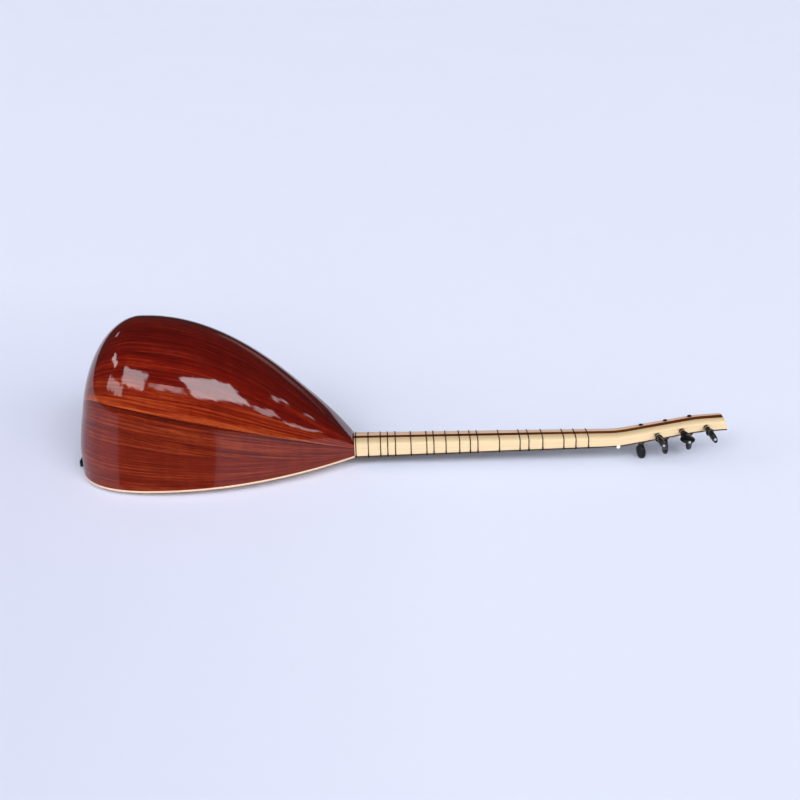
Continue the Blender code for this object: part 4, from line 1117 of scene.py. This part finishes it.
def make_bars(bone, dark, ebony):
    outline = notched_outline(
        NECK_HALF_WIDTH_AT_NUT, NUT_SEAT, -NUT_HEIGHT, STRING_PLACES_AT_NUT, NUT_CHAMFER
    )
    centre = NUT_FROM_TAIL + NUT_THICKNESS / 2.0
    make_notched_bar("nut", outline, lambda z: NUT_THICKNESS, centre, bone)

    base, crest = -GLUE_GAP, -BRIDGE_HEIGHT
    outline = notched_outline(BRIDGE_HALF_WIDTH, base, crest, STRING_PLACES_AT_BRIDGE, END_CHAMFER)
    span = BRIDGE_HALF_WIDTH - BRIDGE_FOOT_LENGTH
    for step in range(BRIDGE_ARCH_STEPS + 1):
        angle = math.pi * step / BRIDGE_ARCH_STEPS
        outline.append((span * math.cos(angle), base - BRIDGE_ARCH_HEIGHT * math.sin(angle)))

    def thickness(z):
        return between(BRIDGE_FOOT_THICKNESS, BRIDGE_CREST_THICKNESS, clamp((base - z) / (base - crest)))

    make_notched_bar("bridge", outline, thickness, BRIDGE_FROM_TAIL, dark)

    outline = notched_outline(
        TAILPIECE_HALF_WIDTH, TAILPIECE_BACK, -TAILPIECE_FRONT, STRING_PLACES_AT_TAIL, END_CHAMFER
    )
    outline[-1] = (TAILPIECE_HALF_WIDTH, TAILPIECE_BACK - END_CHAMFER)
    outline.append((TAILPIECE_HALF_WIDTH - END_CHAMFER, TAILPIECE_BACK))
    outline.append((-TAILPIECE_HALF_WIDTH + END_CHAMFER, TAILPIECE_BACK))
    outline[0] = (-TAILPIECE_HALF_WIDTH, TAILPIECE_BACK - END_CHAMFER)
    centre = -TAIL_FLARE - GLUE_GAP - TAILPIECE_THICKNESS / 2.0
    make_notched_bar("tailpiece", outline, lambda z: TAILPIECE_THICKNESS, centre, ebony)


# Frets

def fret_loop(x, offset):
    """Closed loop of points round the neck, a given distance outside it, with its corners rounded."""
    half_width = neck_half_width(x) + offset
    corner = FRET_CORNER + offset
    points = []
    for step in range(FRET_CORNER_STEPS + 1):
        angle = math.radians(90.0 - 90.0 * step / FRET_CORNER_STEPS)
        y = -(half_width - corner) - corner * math.cos(angle)
        points.append(Vector((x, y, -offset + corner - corner * math.sin(angle))))
    low, high = points[-1].z, neck_depth(x) - BACK_EDGE_DEPTH
    for step in range(1, FRET_SIDE_STEPS):
        points.append(Vector((x, -half_width, between(low, high, step / FRET_SIDE_STEPS))))
    points += back_edge(x, offset)
    return points + [mirrored(point) for point in reversed(points)]


def fret_mesh(name, x):
    """A band of strands laid side by side, thickened into a knot low on the bass side."""
    strand = FRET_WIDTH / FRET_STRANDS
    profile = []
    for number in range(FRET_STRANDS):
        centre = -FRET_WIDTH / 2.0 + strand * (number + 0.5)
        for angle in FRET_STRAND_ANGLES:
            angle = math.radians(angle)
            height = between(FRET_STRAND_CENTRE, 1.0, math.sin(angle))
            profile.append((centre + 0.5 * strand * math.cos(angle), height))
    inner = FRET_WIDTH / 2.0 - FRET_INNER_EDGE
    profile += [(inner, 0.0), (-inner, 0.0)]
    loops = []
    for across, height in profile:
        offset = GLUE_GAP * 0.5 + (FRET_THICKNESS + GLUE_GAP * 0.5) * max(height, 0.0)
        loop = []
        for point in fret_loop(x, offset):
            swell = 0.0
            if point.y < -FRET_KNOT_SIDE * neck_half_width(x):
                distance = (point.z - FRET_KNOT_HEIGHT) / (FRET_KNOT_WIDTH * 0.5)
                swell = math.exp(-distance ** 2)
            widen = 1.0 + swell * (FRET_KNOT_WIDTH / FRET_WIDTH - 1.0)
            outward = -swell * max(height, 0.0) * (FRET_KNOT_THICKNESS - FRET_THICKNESS)
            loop.append(Vector((across * widen, point.y + outward, point.z)))
        loops.append(loop)
    mesh = loft(name, loops, closed_along=True, sharp_angle=ROUND_SHARP_ANGLE)
    mesh.transform(Matrix.Translation((x, 0.0, 0.0)))
    return mesh


def make_frets(material):
    for number, ratio in enumerate(FRET_RATIOS, start=1):
        name = "fret_%02d" % number
        x = NUT_FROM_TAIL - STRING_LENGTH * (1.0 - 1.0 / ratio)
        settle(name, fret_mesh(name, x), material, body=name, stands_for=name)


# Pegs

def peg_profile(length, reach):
    """Rings from the tip to the end of the grip: height, half width and half thickness."""
    collar = reach - PEG_HEAD_LENGTH
    waist = collar + PEG_COLLAR_LENGTH + PEG_WAIST_LENGTH
    rings = []
    for rise, inset in PEG_TIP_ROUNDING:
        rings.append((-length + rise, PEG_TIP_RADIUS - inset, PEG_TIP_RADIUS - inset))
    for z in (PEG_TAPER_END, collar):
        rings.append((z, PEG_SHAFT_RADIUS, PEG_SHAFT_RADIUS))
    for step in range(PEG_COLLAR_STEPS + 1):
        share = step / PEG_COLLAR_STEPS
        fullness = math.sin(math.pi * share) ** PEG_COLLAR_POWER
        radius = between(PEG_WAIST_RADIUS, PEG_COLLAR_RADIUS, fullness)
        rings.append((collar + PEG_COLLAR_START + PEG_COLLAR_LENGTH * share, radius, radius))
    shares, widths, thicknesses = zip(*PEG_GRIP_OUTLINE)
    for step in range(PEG_GRIP_STEPS + 1):
        share = 1.0 - (1.0 - step / PEG_GRIP_STEPS) ** PEG_GRIP_CROWDING
        half_width = PEG_GRIP_HALF_WIDTH * smooth_value(shares, widths, share)
        half_thickness = PEG_GRIP_HALF_THICKNESS * smooth_value(shares, thicknesses, share)
        rings.append((between(waist, reach - PEG_DOT_PROUD, share), half_width, half_thickness))
    return rings


def peg_mesh(name, length, reach):
    sections = []
    for z, half_width, half_thickness in peg_profile(length, reach):
        corners = circle(1.0, PEG_SIDES)
        sections.append([Vector((half_width * x, half_thickness * y, z)) for x, y in corners])
    return loft(name, sections, sharp_angle=PEG_SHARP_ANGLE)


def peg_dot_mesh(name, reach):
    """A small inlaid dot with a domed end, which stands a little proud of the grip."""
    sections = []
    for z, share in PEG_DOT_RINGS:
        corners = circle(PEG_DOT_RADIUS * share, PEG_DOT_SIDES)
        sections.append([Vector((*corner, reach + z)) for corner in corners])
    return loft(name, sections, sharp_angle=PEG_SHARP_ANGLE)


def make_pegs(frames, ebony, pearl):
    reaches = FRONT_PEG_REACHES + SIDE_PEG_REACHES
    turns = FRONT_PEG_TURNS + SIDE_PEG_TURNS
    for name, reach, turn in zip(sorted(frames), reaches, turns):
        place = frames[name] @ Matrix.Rotation(math.radians(turn), 4, "Z")
        mesh = peg_mesh(name, peg_length(name), reach)
        set_grain(mesh, [(v.co.z, v.co.x, v.co.y) for v in mesh.vertices])
        mesh.transform(place)
        settle(name, mesh, ebony, body=name, stands_for=name)
        dot = peg_dot_mesh(name + "_dot", reach)
        dot.transform(place)
        settle(name + "_dot", dot, pearl, body=name)


# Strings

def notch_seat(crest_height):
    return -(crest_height - NOTCH_DEPTH + STRING_CLEARANCE + STRING_RADIUS)


def string_tail_points(number):
    y = STRING_PLACES_AT_TAIL[number]
    face = -TAIL_FLARE - GLUE_GAP - TAILPIECE_THICKNESS
    away = STRING_CLEARANCE + STRING_RADIUS
    floor = notch_seat(TAILPIECE_FRONT) + away
    points = [Vector((face - away, y, STRING_TAIL_END_HEIGHT))]
    for step in range(STRING_TAIL_STEPS + 1):
        angle = math.radians(180.0 + 90.0 * step / STRING_TAIL_STEPS)
        points.append(Vector((face + away * math.cos(angle), y, floor + away * math.sin(angle))))
    return points


def string_neck_points(number):
    points = [Vector((BRIDGE_FROM_TAIL, STRING_PLACES_AT_BRIDGE[number], notch_seat(BRIDGE_HEIGHT)))]
    for x in (NUT_FROM_TAIL, NUT_FROM_TAIL + NUT_THICKNESS):
        points.append(Vector((x, STRING_PLACES_AT_NUT[number], notch_seat(NUT_HEIGHT))))
    return points


def winding_points(place, side):
    radius = PEG_SHAFT_RADIUS + STRING_CLEARANCE + STRING_RADIUS
    pitch = WINDING_GAP + 2.0 * STRING_RADIUS
    points = []
    for step in range(WINDING_TURNS * WINDING_STEPS + 1):
        turned = step / WINDING_STEPS
        angle = side * (math.pi / 2.0 - math.tau * turned)
        depth = WINDING_START + pitch * turned
        points.append(place @ Vector((radius * math.cos(angle), radius * math.sin(angle), depth)))
    return points


def head_edge_point(place):
    """Where a string on its way to a side peg turns over the edge of the head."""
    x = place.translation.x - STRING_EDGE_LEAD
    y = -neck_half_width(x) - STRING_EDGE_CLEARANCE
    return Vector((x, y, front_height(x) - STRING_EDGE_CLEARANCE))


def make_strings(frames, plain, wound):
    routes = []
    for kind, strings in (("peg_front", FRONT_PEG_STRINGS), ("peg_side", SIDE_PEG_STRINGS)):
        for number, (string, side) in enumerate(strings):
            routes.append((string, frames["%s_%d" % (kind, number + 1)], side, kind == "peg_side"))
    for string, place, side, over_edge in routes:
        points = string_tail_points(string) + string_neck_points(string)
        if over_edge:
            points.append(head_edge_point(place))
        points += winding_points(place, side)
        name = "string_%d" % (string + 1)
        mesh = tube(name, points, STRING_RADIUS, STRING_SIDES, Vector((0.0, 1.0, 0.0)))
        material = wound if string in WOUND_STRINGS else plain
        settle(name, mesh, material, stands_for=name)


# Floor, light and camera

def flat_sheet(name, corners, material):
    shape = bmesh.new()
    shape.faces.new([shape.verts.new(corner) for corner in corners])
    mesh = bpy.data.meshes.new(name)
    shape.to_mesh(mesh)
    shape.free()
    mesh.materials.append(material)
    return add_object(name, mesh)


def make_floor():
    """A pale floor that reaches to the horizon, with painted shade in front of the tail."""
    material, web, shader = new_material("pale_floor")
    place = web.object_place()
    pale = web.mix(web.noise(place, (1.2, 1.2, 1.2), 3.0), *FLOOR_TONES)
    split = web.add("ShaderNodeSeparateXYZ", {"Vector": place})
    # Painted shade: the floor's colour darkens in front of the tail
    shade = web.math("MULTIPLY", web.steep(split["X"], *FLOOR_SHADE_X), web.steep(split["Y"], *FLOOR_SHADE_Y))
    web.feed(shader, {
        "Base Color": web.mix(shade, pale, FLOOR_PAINTED_SHADE_TONE), "Roughness": 0.7, "Specular IOR Level": 0.2,
    })
    reach = FLOOR_REACH
    corners = [(x, y, 0.0) for x, y in ((-reach, -reach), (reach, -reach), (reach, reach), (-reach, reach))]
    floor = flat_sheet("floor", corners, material)


def build_window_group():
    """A mask that is one in a bright window, seen along a direction, and falls softly to zero round it."""
    group, web, given, end = new_group("window_mask", {
        "Direction": "Vector", "Towards": "Vector", "Across": "Vector", "Upwards": "Vector",
        "Half Width": "Float", "Half Height": "Float", "Softness": "Float",
    }, {"Mask": "Float"})
    measured = {}
    for label in ("Towards", "Across", "Upwards"):
        pair = {0: given["Direction"], 1: given[label]}
        measured[label] = web.add("ShaderNodeVectorMath", pair, operation="DOT_PRODUCT")["Value"]
    ahead = web.math("MAXIMUM", measured["Towards"], 0.01)
    edges = []
    for label, reach in (("Across", "Half Width"), ("Upwards", "Half Height")):
        distance = web.math("ABSOLUTE", web.math("DIVIDE", measured[label], ahead))
        room = web.math("SUBTRACT", given[reach], distance)
        edges.append(web.math("DIVIDE", room, given["Softness"], limit=True))
    web.feed(end, {"Mask": web.math("MULTIPLY", *edges)})
    return group


def ragged_direction(web):
    """The direction looked in, pushed about a little, so that the windows get ragged edges."""
    direction = web.add("ShaderNodeTexCoord")["Generated"]
    noise = web.add("ShaderNodeTexNoise", {"Vector": direction, "Scale": WINDOW_RAGGED_SCALE, "Detail": 4.0})
    push = web.add("ShaderNodeVectorMath", {0: noise["Color"], 1: (0.5, 0.5, 0.5)}, operation="SUBTRACT")
    return web.add("ShaderNodeVectorMath", {
        0: push["Vector"], 1: (WINDOW_RAGGEDNESS,) * 3, 2: direction,
    }, operation="MULTIPLY_ADD")["Vector"]


def make_world():
    """A dim room, dimmer in reflections, with bright windows, and a pale horizon for the camera alone."""
    world = bpy.data.worlds.new("studio")
    world.use_nodes = True
    web = Web(world.node_tree)
    direction = ragged_direction(web)
    group = build_window_group()
    path = web.add("ShaderNodeLightPath")
    dimming = web.math("MULTIPLY", path["Is Glossy Ray"], MIRRORED_ROOM_LIGHT - ROOM_LIGHT)
    light = web.math("ADD", dimming, ROOM_LIGHT)
    for azimuth, elevation, half_width, half_height, softness, strength in WINDOWS:
        azimuth, elevation = math.radians(azimuth), math.radians(elevation)
        level = math.cos(elevation)
        towards = Vector((math.sin(azimuth) * level, -math.cos(azimuth) * level, math.sin(elevation)))
        across = Vector((math.cos(azimuth), math.sin(azimuth), 0.0))
        window = web.add("ShaderNodeGroup", {
            "Direction": direction, "Towards": towards, "Across": across, "Upwards": across.cross(-towards),
            "Half Width": half_width, "Half Height": half_height, "Softness": softness,
        }, node_tree=group)
        light = web.math("ADD", web.math("MULTIPLY", window["Mask"], strength), light)
    web.feed(web.nodes["Background"], {"Color": ROOM_TONE, "Strength": light})
    horizon = web.add("ShaderNodeBackground", {"Color": HORIZON_TONE})
    choice = web.add("ShaderNodeMixShader", {
        0: path["Is Camera Ray"], 1: web.nodes["Background"].outputs[0], 2: horizon[0],
    })
    web.feed(web.nodes["World Output"], {"Surface": choice[0]})
    bpy.context.scene.world = world


def make_fill_light():
    """Wide soft light from above and in front. It only fills: it has no reflection of its own."""
    lamp = bpy.data.lights.new("fill_light", "SUN")
    lamp.energy = FILL_LIGHT
    lamp.angle = math.radians(FILL_SPREAD)
    fill = add_object("fill_light", lamp)
    fill.rotation_euler = (math.radians(FILL_LEAN), 0.0, 0.0)
    fill.visible_glossy = False


def make_dark_card():
    """A dark card on the floor, seen only in reflections, that keeps the pale floor out of the lacquer."""
    material, web, shader = new_material("dark_card")
    drift = web.noise(web.object_place(), (3.0, 3.0, 3.0), 3.0)
    web.feed(shader, {"Base Color": web.mix(drift, *DARK_CARD_TONES), "Roughness": 0.8})
    card = flat_sheet("dark_card", [(x, y, DARK_CARD_HEIGHT) for x, y in DARK_CARD_CORNERS], material)
    card.visible_camera = False
    card.visible_diffuse = False
    card.visible_shadow = False


def make_camera():
    azimuth, elevation, roll = (math.radians(a) for a in (CAMERA_AZIMUTH, CAMERA_ELEVATION, CAMERA_ROLL))
    ahead = Vector((
        math.sin(azimuth) * math.cos(elevation), math.cos(azimuth) * math.cos(elevation), -math.sin(elevation)
    ))
    right = Vector((math.cos(azimuth), -math.sin(azimuth), 0.0))
    up = right.cross(ahead)
    rolled_right = right * math.cos(roll) + up * math.sin(roll)
    rolled_up = up * math.cos(roll) - right * math.sin(roll)
    view = Matrix((rolled_right, rolled_up, -ahead)).transposed().to_4x4()
    view.translation = Vector(CAMERA_PLACE)
    camera = add_object("camera", bpy.data.cameras.new("camera"))
    camera.matrix_world = INSTRUMENT @ view
    camera.data.lens = CAMERA_LENS
    camera.data.sensor_width = CAMERA_SENSOR
    bpy.context.scene.camera = camera


def dress_inner_pieces(material):
    for name in ("lining_bass", "lining_treble", "brace_tail", "brace_neck", "tail_block", "neck_block"):
        node = frame["nodes"][name]
        node.data.materials.clear()
        node.data.materials.append(material)


def main():
    frames = peg_frames()
    spruce = ringed_wood("spruce_top", (0.74, 0.52, 0.34), (0.52, 0.32, 0.17), 0.0016, 0.65, 0.42, 0.4)
    inner = ringed_wood(
        "inner_spruce", (0.72, 0.56, 0.37), (0.54, 0.38, 0.22), 0.0020, 0.5, 0.7, 0.0, grained=False
    )
    pale = ringed_wood("hornbeam", (0.63, 0.485, 0.29), (0.54, 0.388, 0.21), 0.0024, 0.35, 0.42, 0.25)
    # A shaded copy of the hornbeam, painted pinker for the neck's treble half, which gets less light
    shaded_pink = ringed_wood("pink_hornbeam", (0.72, 0.50, 0.36), (0.60, 0.38, 0.26), 0.0024, 0.40, 0.42, 0.25)
    stripe = lacquered_streaks("dark_stripe", STRIPE_TONES, coat=0.4)
    board = lacquered_streaks("dark_board", BOARD_TONES, coat=0.1, specular=0.2)
    ebony = lacquered_streaks("ebony", EBONY_TONES, coat=0.5, specular=0.05)
    bone = smooth_finish("bone", (0.86, 0.82, 0.72), (0.80, 0.74, 0.60), 0.32)
    pearl = smooth_finish(
        "pearl_dot", (0.40, 0.37, 0.40), (0.24, 0.25, 0.30), 0.30, coat=0.3, fineness=900.0
    )
    nylon = smooth_finish("fret_nylon", (0.014, 0.005, 0.003), (0.026, 0.010, 0.006), 0.45, specular=0.10)
    steel = smooth_finish("plain_steel", (0.42, 0.37, 0.22), (0.30, 0.26, 0.15), 0.32, metallic=1.0)
    bronze = smooth_finish("wound_wire", (0.52, 0.24, 0.15), (0.36, 0.16, 0.10), 0.34, metallic=1.0)
    make_staves()
    make_soundboard(spruce)
    make_neck(frames, pale, shaded_pink, stripe, board)
    make_bars(bone, board, ebony)
    make_frets(nylon)
    make_pegs(frames, ebony, pearl)
    make_strings(frames, steel, bronze)
    dress_inner_pieces(inner)
    make_floor()
    make_world()
    make_fill_light()
    make_dark_card()
    make_camera()
    bpy.context.scene.view_settings.view_transform = "Standard"


main()
bpy.context.view_layer.update()
